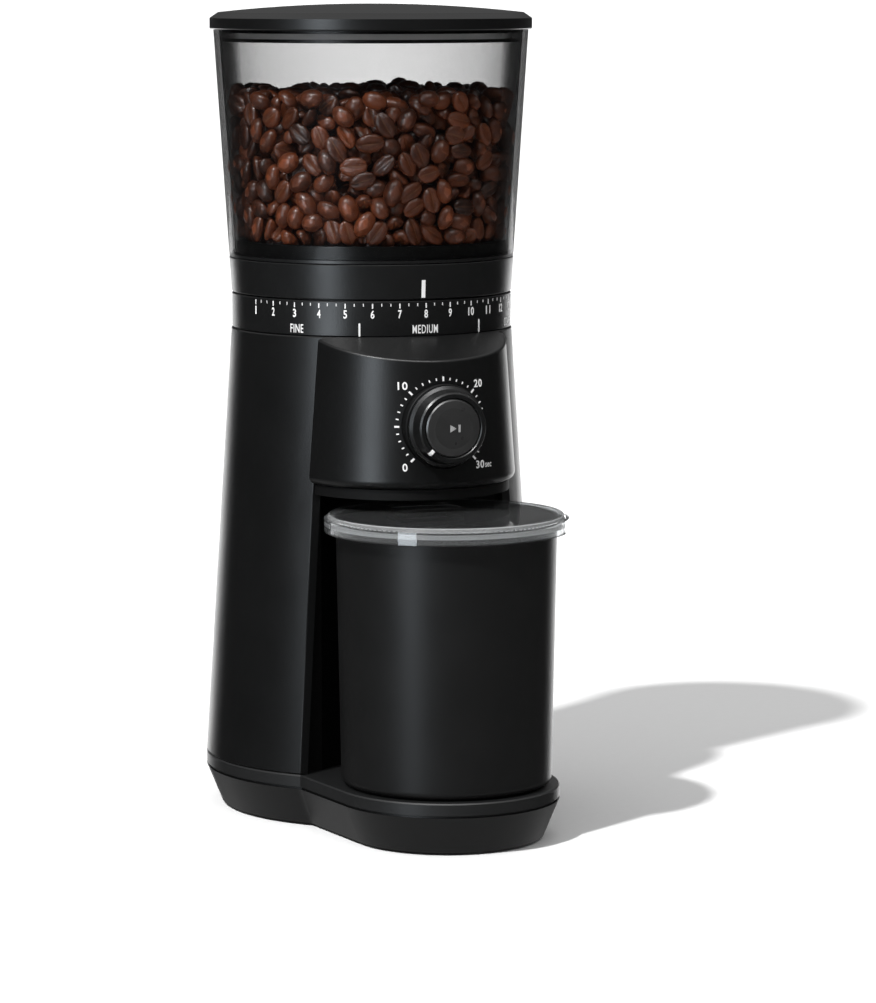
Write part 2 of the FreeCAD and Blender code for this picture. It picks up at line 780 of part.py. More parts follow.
def make_gears():
    wheel_x, wheel_y = wheel_place()
    lower, upper = gear_levels()
    to_wheel = math.degrees(math.atan2(wheel_y - burr_y, wheel_x))
    to_pinion = math.degrees(math.atan2(motor_y - wheel_y, -wheel_x))
    drive = gear(drive_teeth, to_wheel, shaft_radius, upper, upper + gear_width, 0, burr_y)
    recess = tube(tip_radius(drive_teeth) - 4.5, shaft_radius + 4, upper + gear_width - 2, upper + gear_width)
    save("drive_gear", drive.cut(recess))
    bore = axle_radius + shaft_fit
    large = gear(wheel_teeth, to_pinion, bore, lower + 0.6, lower + gear_width - 0.6, wheel_x, wheel_y)
    phase = to_wheel + 180 + 180.0 / small_teeth
    small = gear(small_teeth, phase, bore, lower + gear_width - 0.7, upper + gear_width, wheel_x, wheel_y)
    save("compound_gear", joined([large, small]))
    box_top = gearbox_top - gearbox_wall
    save("compound_axle", cylinder(axle_radius, gearbox_foot + gearbox_wall, box_top, wheel_x, wheel_y))
    pinion_phase = to_pinion + 180 + 180.0 / pinion_teeth
    pinion = gear(pinion_teeth, pinion_phase, motor_shaft_radius, lower, lower + gear_width, 0, motor_y)
    save("motor_pinion", pinion)


def gearbox_block(grow, low, high):
    """Space round the three gears, grown evenly."""
    wheel_x, wheel_y = wheel_place()
    gap = turn_gap + 0.3 + grow
    return joined([
        cylinder(tip_radius(drive_teeth) + gap, low, high),
        cylinder(tip_radius(wheel_teeth) + gap, low, high, wheel_x, wheel_y),
        cylinder(tip_radius(pinion_teeth) + gap, low, high, 0, motor_y),
    ])


def gearbox_screw_places():
    wheel_x, wheel_y = wheel_place()
    left = tip_radius(drive_teeth) + gearbox_wall + 3.2
    return [on_circle(left, 180 + 75), on_circle(left, 180 + 120), on_circle(left, 62),
            (wheel_x + 3, wheel_y + tip_radius(wheel_teeth) + gearbox_wall + 3.2)]


def make_gearbox():
    cover_foot = gearbox_top - gearbox_wall
    outer = gearbox_block(gearbox_wall, gearbox_foot, cover_foot)
    ears = [cylinder(3.2, gearbox_foot, cover_foot, x, y) for x, y in gearbox_screw_places()]
    shell = joined([outer] + ears).cut(gearbox_block(0, gearbox_foot + gearbox_wall, cover_foot))
    shaft_hole = cylinder(motor_shaft_radius + 1.5, gearbox_foot - 1, gearbox_foot + 5, 0, motor_y)
    holes = [cylinder(1.3, cover_foot - 12, cover_foot + 5, x, y) for x, y in gearbox_screw_places()]
    save("gearbox_housing", shell.cut([shaft_hole] + holes))
    lid = gearbox_block(gearbox_wall, cover_foot, gearbox_top)
    lid_ears = [cylinder(3.2, cover_foot, gearbox_top, x, y) for x, y in gearbox_screw_places()]
    hub_hole = cylinder(bush_radius() + seam, cover_foot - 1, gearbox_top + 1)
    save("gearbox_cover", joined([lid] + lid_ears).cut([hub_hole] + holes))
    screws = []
    for x, y in gearbox_screw_places():
        shank = cylinder(1.3, cover_foot - 12, gearbox_top, x, y)
        head = cylinder(2.6, gearbox_top, gearbox_top + screw_head, x, y)
        slot = box(x - 1.8, x + 1.8, y - 0.3, y + 0.3, gearbox_top + 1.1, gearbox_top + screw_head)
        screws.append(joined([shank, head]).cut(slot))
    save("gearbox_screws", Part.makeCompound(screws))


# ---------------------------------------------------------------- motor
def make_motor():
    can_top = motor_top - cap_height
    can_foot = can_top - motor_length
    save("motor_can", tube(motor_radius, motor_radius - motor_wall, can_foot, can_top, 0, motor_y))
    bore = motor_shaft_radius + shaft_fit
    top_cap = spun([(bore, can_top), (motor_radius, can_top), (motor_radius, can_top + 3),
                    (9, can_top + 3), (9, motor_top), (bore, motor_top)], 0, motor_y)
    foot_cap = spun([(bore, can_foot - cap_height), (8, can_foot - cap_height), (8, can_foot - 3),
                     (motor_radius, can_foot - 3), (motor_radius, can_foot), (bore, can_foot)], 0, motor_y)
    save("motor_end_caps", Part.makeCompound([top_cap, foot_cap]))
    magnet_outer = motor_radius - motor_wall
    magnet = tube(magnet_outer, magnet_outer - 4.5, can_foot + 8, can_top - 8, 0, motor_y)
    gaps = box(-5, 5, motor_y - motor_radius, motor_y + motor_radius, can_foot, can_top)
    save("motor_magnets", magnet.cut(gaps))
    lower, upper = gear_levels()
    shaft_foot = can_foot - cap_height + 0.5
    save("motor_shaft", cylinder(motor_shaft_radius, shaft_foot, lower + gear_width + 0.8, 0, motor_y))
    core_radius = magnet_outer - 4.5 - turn_gap - 0.3
    core = tube(core_radius, motor_shaft_radius, can_foot + 9, can_top - 9, 0, motor_y)
    notch = box(core_radius - 4.5, core_radius + 1, motor_y - 1, motor_y + 1, can_foot, can_top)
    commutator = tube(7.0, motor_shaft_radius, can_foot + 1.5, can_foot + 9, 0, motor_y)
    save("motor_armature", joined([core.cut(around(notch, 8, 0, motor_y)), commutator]))
    dampers = []
    for angle in (45, 135, 225, 315):
        x, y = on_circle(motor_radius - 5, angle, 0, motor_y)
        dampers.append(tube(4.5, 1.6, can_top + 3, frame_top - frame_plate, x, y))
    save("motor_dampers", Part.makeCompound(dampers))


# ---------------------------------------------------------------- inner frame and electrics
def post_places():
    angles = (post_angle, 180 - post_angle, 180 + post_angle, -post_angle)
    return [on_circle(post_circle, angle) for angle in angles]


def make_frame():
    posts = [cylinder(post_radius, deck, chamber_top - chamber_wall, x, y) for x, y in post_places()]
    plate = cylinder(post_circle + post_radius + 1.5, frame_top - frame_plate, frame_top)
    front = cylinder(liner_radius + liner_wall + 1.0, frame_top - frame_plate, frame_top, 0, cup_y)
    shaft_hole = cylinder(motor_shaft_radius + 1.5, frame_top - frame_plate, frame_top, 0, motor_y)
    cap_hole = cylinder(10, frame_top - frame_plate, frame_top, 0, motor_y)
    strip = box(-base_radius, base_radius, burr_y - 2 * base_radius, burr_y - liner_strip + liner_wall + 1,
                frame_top - frame_plate, frame_top)
    save("inner_frame", joined([plate.cut([front, strip, shaft_hole, cap_hole])] + posts))


def make_electrics():
    board_back = nose_front(dial_z) + 15.0
    board = box(-21, 21, board_back, board_back + 1.6, dial_z - 8, dial_z + 17)
    chips = [box(-17, -8, board_back + 1.6, board_back + 3.2, dial_z + 5, dial_z + 13),
             box(10, 17, board_back + 1.6, board_back + 3.6, dial_z - 2, dial_z + 8)]
    save("control_board", joined([board] + chips))
    encoder_front = board_back - 5.0
    body = box(-6.5, 6.5, encoder_front, board_back, dial_z - 6.5, dial_z + 6.5)
    shaft_bore = rod_forward(dial_shaft_radius + shaft_fit, encoder_front - 1, board_back - 1)
    save("timer_encoder", body.cut(shaft_bore))
    power_z = deck + 24
    power_height = 46.0
    tallest = 8.0
    power_y = burr_y + panel_radius(power_z + power_height) - panel_wall - tallest - 5.8
    power = box(-19, 19, power_y, power_y + 1.6, power_z, power_z + power_height)
    parts = [rod_forward(4, power_y + 1.6, power_y + 1.6 + tallest, -10, power_z + 10),
             box(2, 14, power_y + 1.6, power_y + 9, power_z + 20, power_z + 34)]
    save("power_board", joined([power] + parts))
    switch_x, switch_y = on_circle(chamber_radius + chamber_wall + 6, 120)
    low = chamber_top - chamber_wall - 11
    switch = box(switch_x - 4, switch_x + 4, switch_y - 5, switch_y + 5, low, low + 10)
    save("interlock_switch", switch)


# ---------------------------------------------------------------- timer dial and button
def make_dial():
    face = nose_front(dial_z)
    seat = face - 1.0
    bezel = spun_forward([(3.6, face + 6), (dial_back_radius, face + 6), (dial_back_radius, seat + edge),
                          (dial_back_radius - edge, seat), (3.6, seat)])
    save("dial_bezel", bezel)
    back = seat - turn_gap
    front = back - dial_depth
    button_back = front + 2.6
    pocket = button_back + button_stroke + 1.5
    well = button_radius + rest_gap
    dial = spun_forward([(dial_shaft_radius, pocket), (well, pocket),
                         (well, front + 0.3), (well + 0.3, front),
                         (dial_face_radius - 0.6, front), (dial_face_radius, front + 0.6),
                         (dial_radius - 1.2, back - 2.2), (dial_radius, back - 1.4), (dial_radius, back),
                         (dial_shaft_radius, back)])
    half = mark_width / 2
    slot = box(-half, half, front - 1, front + 1.6, dial_z + well + 0.1, dial_z + dial_radius)
    core = spun_forward([(0, front - 2), (dial_face_radius - 0.6, front + 0.5),
                         (dial_radius, back), (0, back)])
    slot.rotate(Vector(0, 0, dial_z), Vector(0, 1, 0), 90 - zero_angle)
    mark = dial.common(slot).cut(core)
    save("timer_dial", dial.cut(mark))
    save("dial_mark", mark)
    encoder_end = face + 15.0 - 1.5
    shaft = rod_forward(dial_shaft_radius, pocket, encoder_end)
    save("dial_shaft", shaft.cut(rod_forward(1.2, pocket - 1, pocket + 1)))
    crown = front - 1.0
    rim = front - 0.1
    button = spun_forward([(0, button_back), (button_radius, button_back), (button_radius, rim + 0.5),
                           (button_radius - 0.6, rim), (button_radius * 0.7, rim - 0.5), (0, crown)])
    save("start_button", button)
    switch = spun_forward([(0, pocket), (3.4, pocket), (3.4, pocket - 1.0), (0, pocket - 1.0)])
    save("button_switch", switch)


# ---------------------------------------------------------------- chute
def chute_points(grow):
    """Side view of the grounds' way, as (y, z) points, grown evenly by the wall."""
    start = burr_y - chamber_radius + 0.5
    back = burr_y - chute_reach + chute_height / 2
    front = burr_y - chute_reach - chute_height / 2
    foot = underside - 1.5
    floor = chamber_floor
    return [(start, floor - grow), (start, floor + chute_height + grow),
            (front - grow, floor - 4 + grow), (front - grow, foot), (back + grow, foot),
            (back + grow, floor - 11 - grow * 0.4)]


def chute_duct(gap, wall):
    half = chute_width / 2
    return side_prism(chute_points(wall + gap), -half - wall - gap, half + wall + gap)


def chute_passage():
    half = chute_width / 2
    return side_prism(chute_points(0), -half, half)


def make_chute():
    wall_line = cylinder(chamber_radius + chamber_wall + seam / 4, chamber_floor - 20, chamber_floor + 30)
    duct = chute_duct(0, chute_wall).cut(chute_passage()).cut(wall_line)
    drop = chute_passage().copy()
    drop.translate(Vector(0, 0, -1.5))
    save("grounds_chute", duct.cut(drop.common(box(-50, 50, cup_y, burr_y, underside - 10, underside))))


# ---------------------------------------------------------------- container
def cup_radius(height):
    return container_radius + container_flare * (height - cup_foot) / container_height


def make_container():
    top = container_radius + container_flare
    outer = cone(container_radius, top, cup_foot, cup_rim, 0, cup_y)
    foot_edge = [line for line in outer.Edges if line.BoundBox.ZMax < cup_foot + 0.01]
    outer = outer.makeFillet(container_round, foot_edge)
    floor = cup_foot + 2.0
    inner = cone(cup_radius(floor) - container_wall, top - container_wall, floor, cup_rim, 0, cup_y)
    inner_foot = [line for line in inner.Edges if line.BoundBox.ZMax < floor + 0.01]
    inner = inner.makeFillet(container_round - 0.8, inner_foot)
    save("grounds_container", outer.cut(inner))

    skirt_foot = cup_lid_top - cup_lid_skirt
    skirt_bore = top + 1.9
    plug = top - container_wall - 0.5
    lid = spun([(0, cup_rim + rest_gap), (plug - 1.4, cup_rim + rest_gap), (plug - 1.4, cup_rim - 3.2),
                (plug, cup_rim - 3.2), (plug, cup_rim + rest_gap), (skirt_bore, cup_rim + rest_gap),
                (skirt_bore, skirt_foot), (cup_lid_radius, skirt_foot), (cup_lid_radius, cup_lid_top - 1.6),
                (cup_lid_radius - 1.2, cup_lid_top - 1.4), (cup_lid_radius - 1.7, cup_lid_top - 0.3),
                (cup_lid_radius - 2.1, cup_lid_top), (0, cup_lid_top)], 0, cup_y)
    mouth_y = burr_y - chute_reach
    half_x = chute_width / 2 + 1
    half_y = chute_height / 2 + 1.5
    mouth = box(-half_x, half_x, mouth_y - half_y, mouth_y + half_y, cup_rim - 1, cup_lid_top + 1)
    save("container_lid", lid.cut(mouth))
    seal = tube(skirt_bore, top + 0.4, cup_rim - 2.4, cup_rim - 0.8, 0, cup_y)
    save("container_lid_seal", seal)


# ---------------------------------------------------------------- build
def build():
    os.makedirs("parts", exist_ok=True)
    make_base()
    make_side_panel()
    make_front_housing()
    make_liner()
    make_scale_ring()
    make_collar()
    make_hopper()
    make_lid()
    cone_low, cone_high = make_cone_burr()
    burr_low, burr_high = make_ring_burr()
    make_carrier(burr_low, burr_high)
    ledge = make_carrier_spring()
    make_chamber(ledge)
    make_shaft_parts(cone_low, cone_high)
    make_gears()
    make_gearbox()
    make_motor()
    make_frame()
    make_electrics()
    make_dial()
    make_chute()
    make_container()


build()
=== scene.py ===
"""Looks of a burr coffee grinder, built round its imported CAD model.

Metres, +Z up, front facing -Y, in the CAD model's own frame.  Angles round the burr axis and round
the nose are measured from the front, positive towards +X.
"""

import logging
import math
from dataclasses import dataclass, field
from enum import Enum
from typing import Any, Callable

import bmesh
import bpy
import numpy as np
from mathutils import Matrix, Vector, kdtree
from mathutils.bvhtree import BVHTree


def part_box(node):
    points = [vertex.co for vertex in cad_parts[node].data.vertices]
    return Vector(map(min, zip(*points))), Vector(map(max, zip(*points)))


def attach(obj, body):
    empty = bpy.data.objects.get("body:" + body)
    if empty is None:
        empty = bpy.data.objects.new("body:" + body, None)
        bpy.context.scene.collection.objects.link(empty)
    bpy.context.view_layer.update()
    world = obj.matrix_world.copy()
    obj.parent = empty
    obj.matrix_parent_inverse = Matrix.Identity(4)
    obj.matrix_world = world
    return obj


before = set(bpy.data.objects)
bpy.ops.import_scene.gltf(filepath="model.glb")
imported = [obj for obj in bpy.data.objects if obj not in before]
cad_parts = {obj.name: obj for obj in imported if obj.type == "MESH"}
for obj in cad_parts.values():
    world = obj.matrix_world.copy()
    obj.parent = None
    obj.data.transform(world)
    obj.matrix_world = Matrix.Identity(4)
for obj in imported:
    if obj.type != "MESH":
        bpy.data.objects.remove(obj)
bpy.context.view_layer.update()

MM = 0.001
Colour = tuple[float, float, float, float]
log = logging.getLogger("grinder")


# ------------------------------------------------------------------ shader maths
class Value:
    """One value on its way through a material, whose arithmetic adds Math nodes."""

    def __init__(self, surface: "Surface", socket: bpy.types.NodeSocket) -> None:
        """Keep the socket that carries the value.

        Args:
            surface: the material that the socket is in.
            socket: the output socket.
        """
        self.surface = surface
        self.socket = socket

    def _maths(self, operation: str, first: Any, second: Any) -> "Value":
        """Add one Math node.

        Args:
            operation: the Math node's operation.
            first: its first number or value.
            second: its second number or value.

        Returns:
            What the node gives.
        """
        return self.surface.node("ShaderNodeMath", {"operation": operation}, {0: first, 1: second})

    def __add__(self, other: Any) -> "Value":
        """Return this plus other."""
        return self._maths("ADD", self, other)

    def __radd__(self, other: Any) -> "Value":
        """Return other plus this."""
        return self._maths("ADD", other, self)

    def __sub__(self, other: Any) -> "Value":
        """Return this less other."""
        return self._maths("SUBTRACT", self, other)

    def __rsub__(self, other: Any) -> "Value":
        """Return other less this."""
        return self._maths("SUBTRACT", other, self)

    def __mul__(self, other: Any) -> "Value":
        """Return this times other."""
        return self._maths("MULTIPLY", self, other)

    def __rmul__(self, other: Any) -> "Value":
        """Return other times this."""
        return self._maths("MULTIPLY", other, self)

    def __pow__(self, other: Any) -> "Value":
        """Return this to the power of other."""
        return self._maths("POWER", self, other)

    def at_most(self, other: Any) -> "Value":
        """Return the smaller of this and other."""
        return self._maths("MINIMUM", self, other)

    def at_least(self, other: Any) -> "Value":
        """Return the larger of this and other."""
        return self._maths("MAXIMUM", self, other)


class Surface:
    """One material and its nodes."""

    def __init__(self, name: str) -> None:
        """Start an empty material.

        Args:
            name: the material's name.
        """
        self.material = bpy.data.materials.new(name)
        self.material.use_nodes = True
        self.tree = self.material.node_tree
        self.tree.nodes.clear()
        self.output = self.tree.nodes.new("ShaderNodeOutputMaterial")

    def node(self, kind: str, settings: dict[str, Any] | None = None,
             sockets: dict[Any, Any] | None = None, out: Any = 0) -> Value:
        """Add one node.

        Args:
            kind: the node's type.
            settings: its own settings, set first; "stops" fills a colour ramp.
            sockets: the value or link of each input, by name or number.
            out: the output that is wanted, by name or number.

        Returns:
            The value at that output.
        """
        made = self.tree.nodes.new(kind)
        for name, value in (settings or {}).items():
            if name == "stops":
                fill_ramp(made.color_ramp, value)
            else:
                setattr(made, name, value)
        for name, value in (sockets or {}).items():
            if isinstance(value, Value):
                self.tree.links.new(value.socket, made.inputs[name])
            else:
                made.inputs[name].default_value = value
        return Value(self, made.outputs[out])

    def place(self) -> Value:
        """Return the Object coordinates."""
        return self.node("ShaderNodeTexCoord", out="Object")

    def noise(self, size: float, detail: float = 2.0) -> Value:
        """Add a noise pattern.

        Args:
            size: how large its blotches are, in metres.
            detail: how many finer layers it has.

        Returns:
            A value round 0.5.
        """
        sockets = {"Vector": self.place(), "Scale": 1.0 / size, "Detail": detail}
        return self.node("ShaderNodeTexNoise", {}, sockets)

    def stretched(self, scale: tuple[float, float, float]) -> Value:
        """Return the Object coordinates scaled along each axis.

        Args:
            scale: factors for X, Y and Z.
        """
        return self.node("ShaderNodeMapping", {}, {"Vector": self.place(), "Scale": scale})

    def blend(self, share: Value, low: Any, high: Any) -> Value:
        """Mix two colours.

        Args:
            share: 0 for the first and 1 for the second.
            low: the first colour.
            high: the second colour.

        Returns:
            The mixed colour.
        """
        return self.node("ShaderNodeMix", {"data_type": "RGBA"}, {0: share, 6: low, 7: high}, 2)

    def bump(self, height: Value, depth: float, strength: float = 1.0) -> Value:
        """Return a normal that follows a height.

        Args:
            height: the height, 0 to 1.
            depth: what a height of 1 stands for, in metres.
            strength: how far the normal follows it.
        """
        sockets = {"Height": height, "Distance": depth, "Strength": strength}
        return self.node("ShaderNodeBump", {}, sockets)

    def principled(self, sockets: dict[Any, Any]) -> Value:
        """Return a Principled shader with these sockets."""
        return self.node("ShaderNodeBsdfPrincipled", {}, sockets)

    def mixed(self, share: Any, first: Value, second: Value) -> Value:
        """Return two shaders mixed, the share being how much of the second shows."""
        return self.node("ShaderNodeMixShader", {}, {0: share, 1: first, 2: second})

    def finish(self, shader: Value) -> bpy.types.Material:
        """Put a shader on the surface.

        Args:
            shader: the shader.

        Returns:
            The finished material.
        """
        self.tree.links.new(shader.socket, self.output.inputs["Surface"])
        return self.material


def fill_ramp(ramp: bpy.types.ColorRamp, stops: list[tuple[float, Colour]]) -> None:
    """Set a colour ramp's stops.

    Args:
        ramp: the ramp, which starts with two stops.
        stops: places from 0 to 1 and their colours, in order.
    """
    while len(ramp.elements) < len(stops):
        ramp.elements.new(1.0)
    for element, (place, colour) in zip(ramp.elements, stops):
        element.position = place
        element.color = colour


def grey(level: float, warmth: float = 0.0) -> Colour:
    """Return a grey, a little warmer or cooler.

    Args:
        level: how light it is.
        warmth: how much more red than blue it has, as a share.
    """
    return (level * (1 + warmth), level, level * (1 - warmth), 1.0)


# ------------------------------------------------------------------ finishes
@dataclass(frozen=True)
class MouldedPlastic:
    """Injection-moulded plastic or rubber with a spark-eroded grain."""

    name: str
    colour: Colour
    roughness: float = 0.4
    specular: float = 0.3
    grain: float = 0.5 * MM
    depth: float = 0.025 * MM
    mottle: float = 0.25

    def make(self) -> bpy.types.Material:
        """Return the material."""
        surface = Surface(self.name)
        grain = surface.noise(self.grain, 1.0)
        cloud = surface.noise(22 * MM, 3.0)
        rough = self.roughness + (grain - 0.5) * 0.12 + (cloud - 0.5) * 0.08
        darker = tuple(c * (1 - self.mottle) for c in self.colour[:3]) + (1.0,)
        lighter = tuple(c * (1 + self.mottle) for c in self.colour[:3]) + (1.0,)
        tone = surface.blend(grain * 0.5 + cloud * 0.5, darker, lighter)
        return surface.finish(surface.principled({
            "Base Color": tone, "Roughness": rough, "Specular IOR Level": self.specular,
            "Normal": surface.bump(grain, self.depth)}))


@dataclass(frozen=True)
class ClearPlastic:
    """Smoked clear plastic, darker the more edge on its wall is seen.

    The smoke gives how much of the colour shows at each slant: 0 is face on and 1 is edge on.
    """

    name: str
    colour: Colour
    smoke: tuple[tuple[float, float], ...]
    gloss: float = 0.15

    def make(self) -> bpy.types.Material:
        """Return the material."""
        surface = Surface(self.name)
        slant = surface.node("ShaderNodeLayerWeight", {}, {"Blend": 0.5}, "Facing")
        cloud = (surface.noise(40 * MM, 2.0) - 0.5) * 0.03
        stops = [(place, grey(share)) for place, share in self.smoke]
        share = surface.node("ShaderNodeValToRGB", {"stops": stops}, {"Fac": slant + cloud})
        clear = surface.node("ShaderNodeBsdfTransparent", {}, {"Color": (1, 1, 1, 1)})
        tinted = surface.principled({
            "Base Color": self.colour, "Roughness": surface.noise(9 * MM, 3.0) * 0.1 + 0.3,
            "Specular IOR Level": 0.05})
        shine = surface.node("ShaderNodeBsdfGlossy", {}, {
            "Color": (1, 1, 1, 1), "Roughness": 0.05,
            "Normal": surface.bump(surface.noise(30 * MM, 2.0), 0.05 * MM)})
        body = surface.mixed(share, clear, tinted)
        return surface.finish(surface.mixed(slant ** 4 * self.gloss, body, shine))


@dataclass(frozen=True)
class SolidGlaze:
    """Thick clear plastic that bends what is seen through it. It is a little milky all over, and
    has a painted highlight of milky white on faces tilted about 45 degrees, such as its rounded
    edges.
    """

    name: str
    colour: Colour
    haze: float = 0.018
    # share of milky white painted on faces tilted about 45 degrees, as a painted highlight on the
    # rounded edges
    edge_haze: float = 0.3

    def make(self) -> bpy.types.Material:
        """Return the material."""
        surface = Surface(self.name)
        wave = surface.bump(surface.noise(14 * MM, 2.0), 0.03 * MM)
        rough = surface.noise(3 * MM, 2.0) * 0.03 + 0.02
        glass = surface.principled({
            "Base Color": self.colour, "Roughness": rough, "IOR": 1.46,
            "Transmission Weight": 1.0, "Normal": wave})
        haze_and_painted_highlight = surface.principled({"Base Color": self.colour, "Roughness": rough + 0.2})
        # painted highlight: milky white is mixed in where the face's normal tilts about 45 degrees
        # from upright, standing in for the bright reflections in the rim's rounded edges; the
        # constant haze is the plastic's own milkiness
        facing = surface.node("ShaderNodeTexCoord", {}, out="Normal")
        up = surface.node("ShaderNodeSeparateXYZ", {}, {"Vector": facing}, "Z")
        painted_highlight_mask = (1.0 - up * up) * (up * up) * 4.0
        share = self.haze + painted_highlight_mask * self.edge_haze
        return surface.finish(surface.mixed(share, glass, haze_and_painted_highlight))


class Lay(Enum):
    """Which way a metal's tool marks run."""

    TURNED = (40.0, 40.0, 900.0)
    CAST = (300.0, 300.0, 300.0)
    GROUND = (900.0, 900.0, 60.0)


@dataclass(frozen=True)
class Metal:
    """Machined, ground, plated or cast metal."""

    name: str
    colour: Colour
    roughness: float = 0.3
    lay: Lay = Lay.TURNED
    metallic: float = 1.0

    def make(self) -> bpy.types.Material:
        """Return the material."""
        surface = Surface(self.name)
        marks = surface.node("ShaderNodeTexNoise", {}, {
            "Vector": surface.stretched(self.lay.value), "Scale": 4.0, "Detail": 3.0})
        stain = surface.noise(7 * MM, 3.0)
        dull = tuple(c * 0.8 for c in self.colour[:3]) + (1.0,)
        return surface.finish(surface.principled({
            "Base Color": surface.blend(stain, dull, self.colour), "Metallic": self.metallic,
            "Roughness": self.roughness + (marks - 0.5) * 0.25,
            "Normal": surface.bump(marks, 0.02 * MM)}))


@dataclass(frozen=True)
class CircuitBoard:
    """Glass-fibre board with copper tracks under its green mask."""

    name: str
    pitch: float = 3.125 * MM
    bare: Colour = (0.012, 0.09, 0.035, 1)
    copper: Colour = (0.03, 0.2, 0.08, 1)

    def make(self) -> bpy.types.Material:
        """Return the material."""
        surface = Surface(self.name)
        cells = surface.node("ShaderNodeTexVoronoi", {"distance": "CHEBYCHEV"},
                             {"Vector": surface.place(), "Scale": 1.0 / self.pitch})
        tracks = surface.node("ShaderNodeValToRGB", {"stops": [
            (0.0, grey(1)), (0.32, grey(1)), (0.36, grey(0)), (1.0, grey(0))]}, {"Fac": cells})
        tone = surface.blend(tracks, self.bare, self.copper)
        return surface.finish(surface.principled({
            "Base Color": tone, "Roughness": surface.noise(2 * MM) * 0.1 + 0.3,
            "Normal": surface.bump(tracks, 0.03 * MM)}))


@dataclass(frozen=True)
class Ink:
    """Pad-printed ink."""

    name: str
    colour: Colour

    def make(self) -> bpy.types.Material:
        """Return the material."""
        surface = Surface(self.name)
        film = surface.noise(0.5 * MM, 2.0)
        worn = tuple(c * 0.88 for c in self.colour[:3]) + (1.0,)
        return surface.finish(surface.principled({
            "Base Color": surface.blend(film, worn, self.colour), "Roughness": film * 0.1 + 0.45,
            "Normal": surface.bump(film, 0.005 * MM)}))


@dataclass(frozen=True)
class BeanSkin:
    """Dark-roasted bean: brown, oily and wrinkled, with a little chaff in the crease."""

    name: str
    dark: Colour
    red: Colour
    chaff: Colour

    def make(self) -> bpy.types.Material:
        """Return the material, which reads the beans' own "tone" and "crease" attributes."""
        surface = Surface(self.name)
        tone = surface.node("ShaderNodeAttribute", {"attribute_name": "tone"}, out="Fac")
        crease = surface.node("ShaderNodeAttribute", {"attribute_name": "crease"}, out="Fac")
        wrinkle = surface.noise(1.6 * MM, 4.0)
        blotch = surface.noise(4 * MM, 2.0)
        share = (tone * 0.75 + (blotch - 0.5) * 0.7 + (wrinkle - 0.5) * 0.4).at_least(0.0)
        skin = surface.blend(share.at_most(1.0), self.dark, self.red)
        line = ((crease - 0.62) * 5.0).at_least(0.0).at_most(1.0) * (0.35 + tone * 0.5)
        return surface.finish(surface.principled({
            "Base Color": surface.blend(line, skin, self.chaff),
            "Roughness": 0.24 + wrinkle * 0.25, "Specular IOR Level": 0.45,
            "Coat Weight": 0.25, "Coat Roughness": 0.16,
            "Normal": surface.bump(wrinkle, 0.35 * MM, 0.8)}))


class Finish(Enum):
    """Every finish on the grinder."""

    SATIN_BLACK = MouldedPlastic("satin_plastic", grey(0.0028, -0.04), 0.36, 0.3)
    COLLAR_BLACK = MouldedPlastic("collar_plastic", grey(0.0045, -0.04), 0.33, 0.35)
    DECK_BLACK = MouldedPlastic("deck_plastic", grey(0.007, -0.04), 0.42, 0.4)
    DEEP_BLACK = MouldedPlastic("unlit_plastic", grey(0.002), 0.6, 0.12)
    CAN_BLACK = MouldedPlastic("can_plastic", grey(0.004, -0.02), 0.4, 0.3, 0.25 * MM, 0.006 * MM)
    GLOSS_BLACK = MouldedPlastic("gloss_plastic", grey(0.02), 0.3, 0.5, 4 * MM, 0.001 * MM, 0.1)
    FRAME_GREY = MouldedPlastic("glass_filled_plastic", grey(0.11), 0.5, 0.4, 0.8 * MM, 0.03 * MM,
                                0.15)
    GEAR_NYLON = MouldedPlastic("nylon", (0.78, 0.76, 0.68, 1), 0.4, 0.5, 1 * MM, 0.01 * MM, 0.05)
    BLACK_RUBBER = MouldedPlastic("rubber", grey(0.012), 0.75, 0.3, 0.5 * MM, 0.03 * MM)
    GREY_SILICONE = MouldedPlastic("silicone", grey(0.28), 0.5, 0.4, 0.6 * MM, 0.01 * MM, 0.08)
    SMOKED = ClearPlastic("smoked_plastic", grey(0.004), (
        (0.0, 0.14), (0.31, 0.224), (0.5, 0.32), (0.57, 0.64), (1.0, 0.8)))
    CLEAR = SolidGlaze("clear_acrylic", (0.93, 0.95, 0.96, 1))
    BURR_STEEL = Metal("ground_steel", grey(0.5), 0.28, Lay.GROUND)
    PLAIN_STEEL = Metal("turned_steel", grey(0.45), 0.3)
    SCREW_STEEL = Metal("zinc_plate", grey(0.6), 0.22, Lay.CAST)
    MOTOR_IRON = Metal("painted_iron", grey(0.3), 0.45, Lay.CAST, 0.8)
    MAGNET = Metal("ferrite", grey(0.08), 0.6, Lay.CAST, 0.5)
    BUSH_BRASS = Metal("bronze", (0.7, 0.5, 0.22, 1), 0.38)
    BOARD = CircuitBoard("circuit_board")
    WHITE_INK = Ink("white_ink", grey(0.85))
    GREY_INK = Ink("grey_ink", grey(0.34))
    BEAN = BeanSkin("roasted_bean", (0.05, 0.014, 0.006, 1), (0.32, 0.08, 0.026, 1),
                    (0.3, 0.12, 0.05, 1))

    def material(self) -> bpy.types.Material:
        """Return this finish's material, made the first time it is asked for."""
        made = bpy.data.materials.get(self.value.name)
        return made or self.value.make()


def dress(finish: Finish, *nodes: str) -> None:
    """Give CAD nodes a finish.

    Args:
        finish: the finish.
        nodes: the nodes' names.
    """
    for name in nodes:
        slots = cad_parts[name].data.materials
        slots.clear()
        slots.append(finish.material())
        log.info("node %s: %s", name, finish.value.name)


# ------------------------------------------------------------------ making pieces
def middle(node: str) -> Vector:
    """Return the centre of a CAD node's box."""
    low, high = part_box(node)
    return (low + high) / 2


def half_width(node: str) -> float:
    """Return half the width of a CAD node's box along X."""
    low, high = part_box(node)
    return (high.x - low.x) / 2


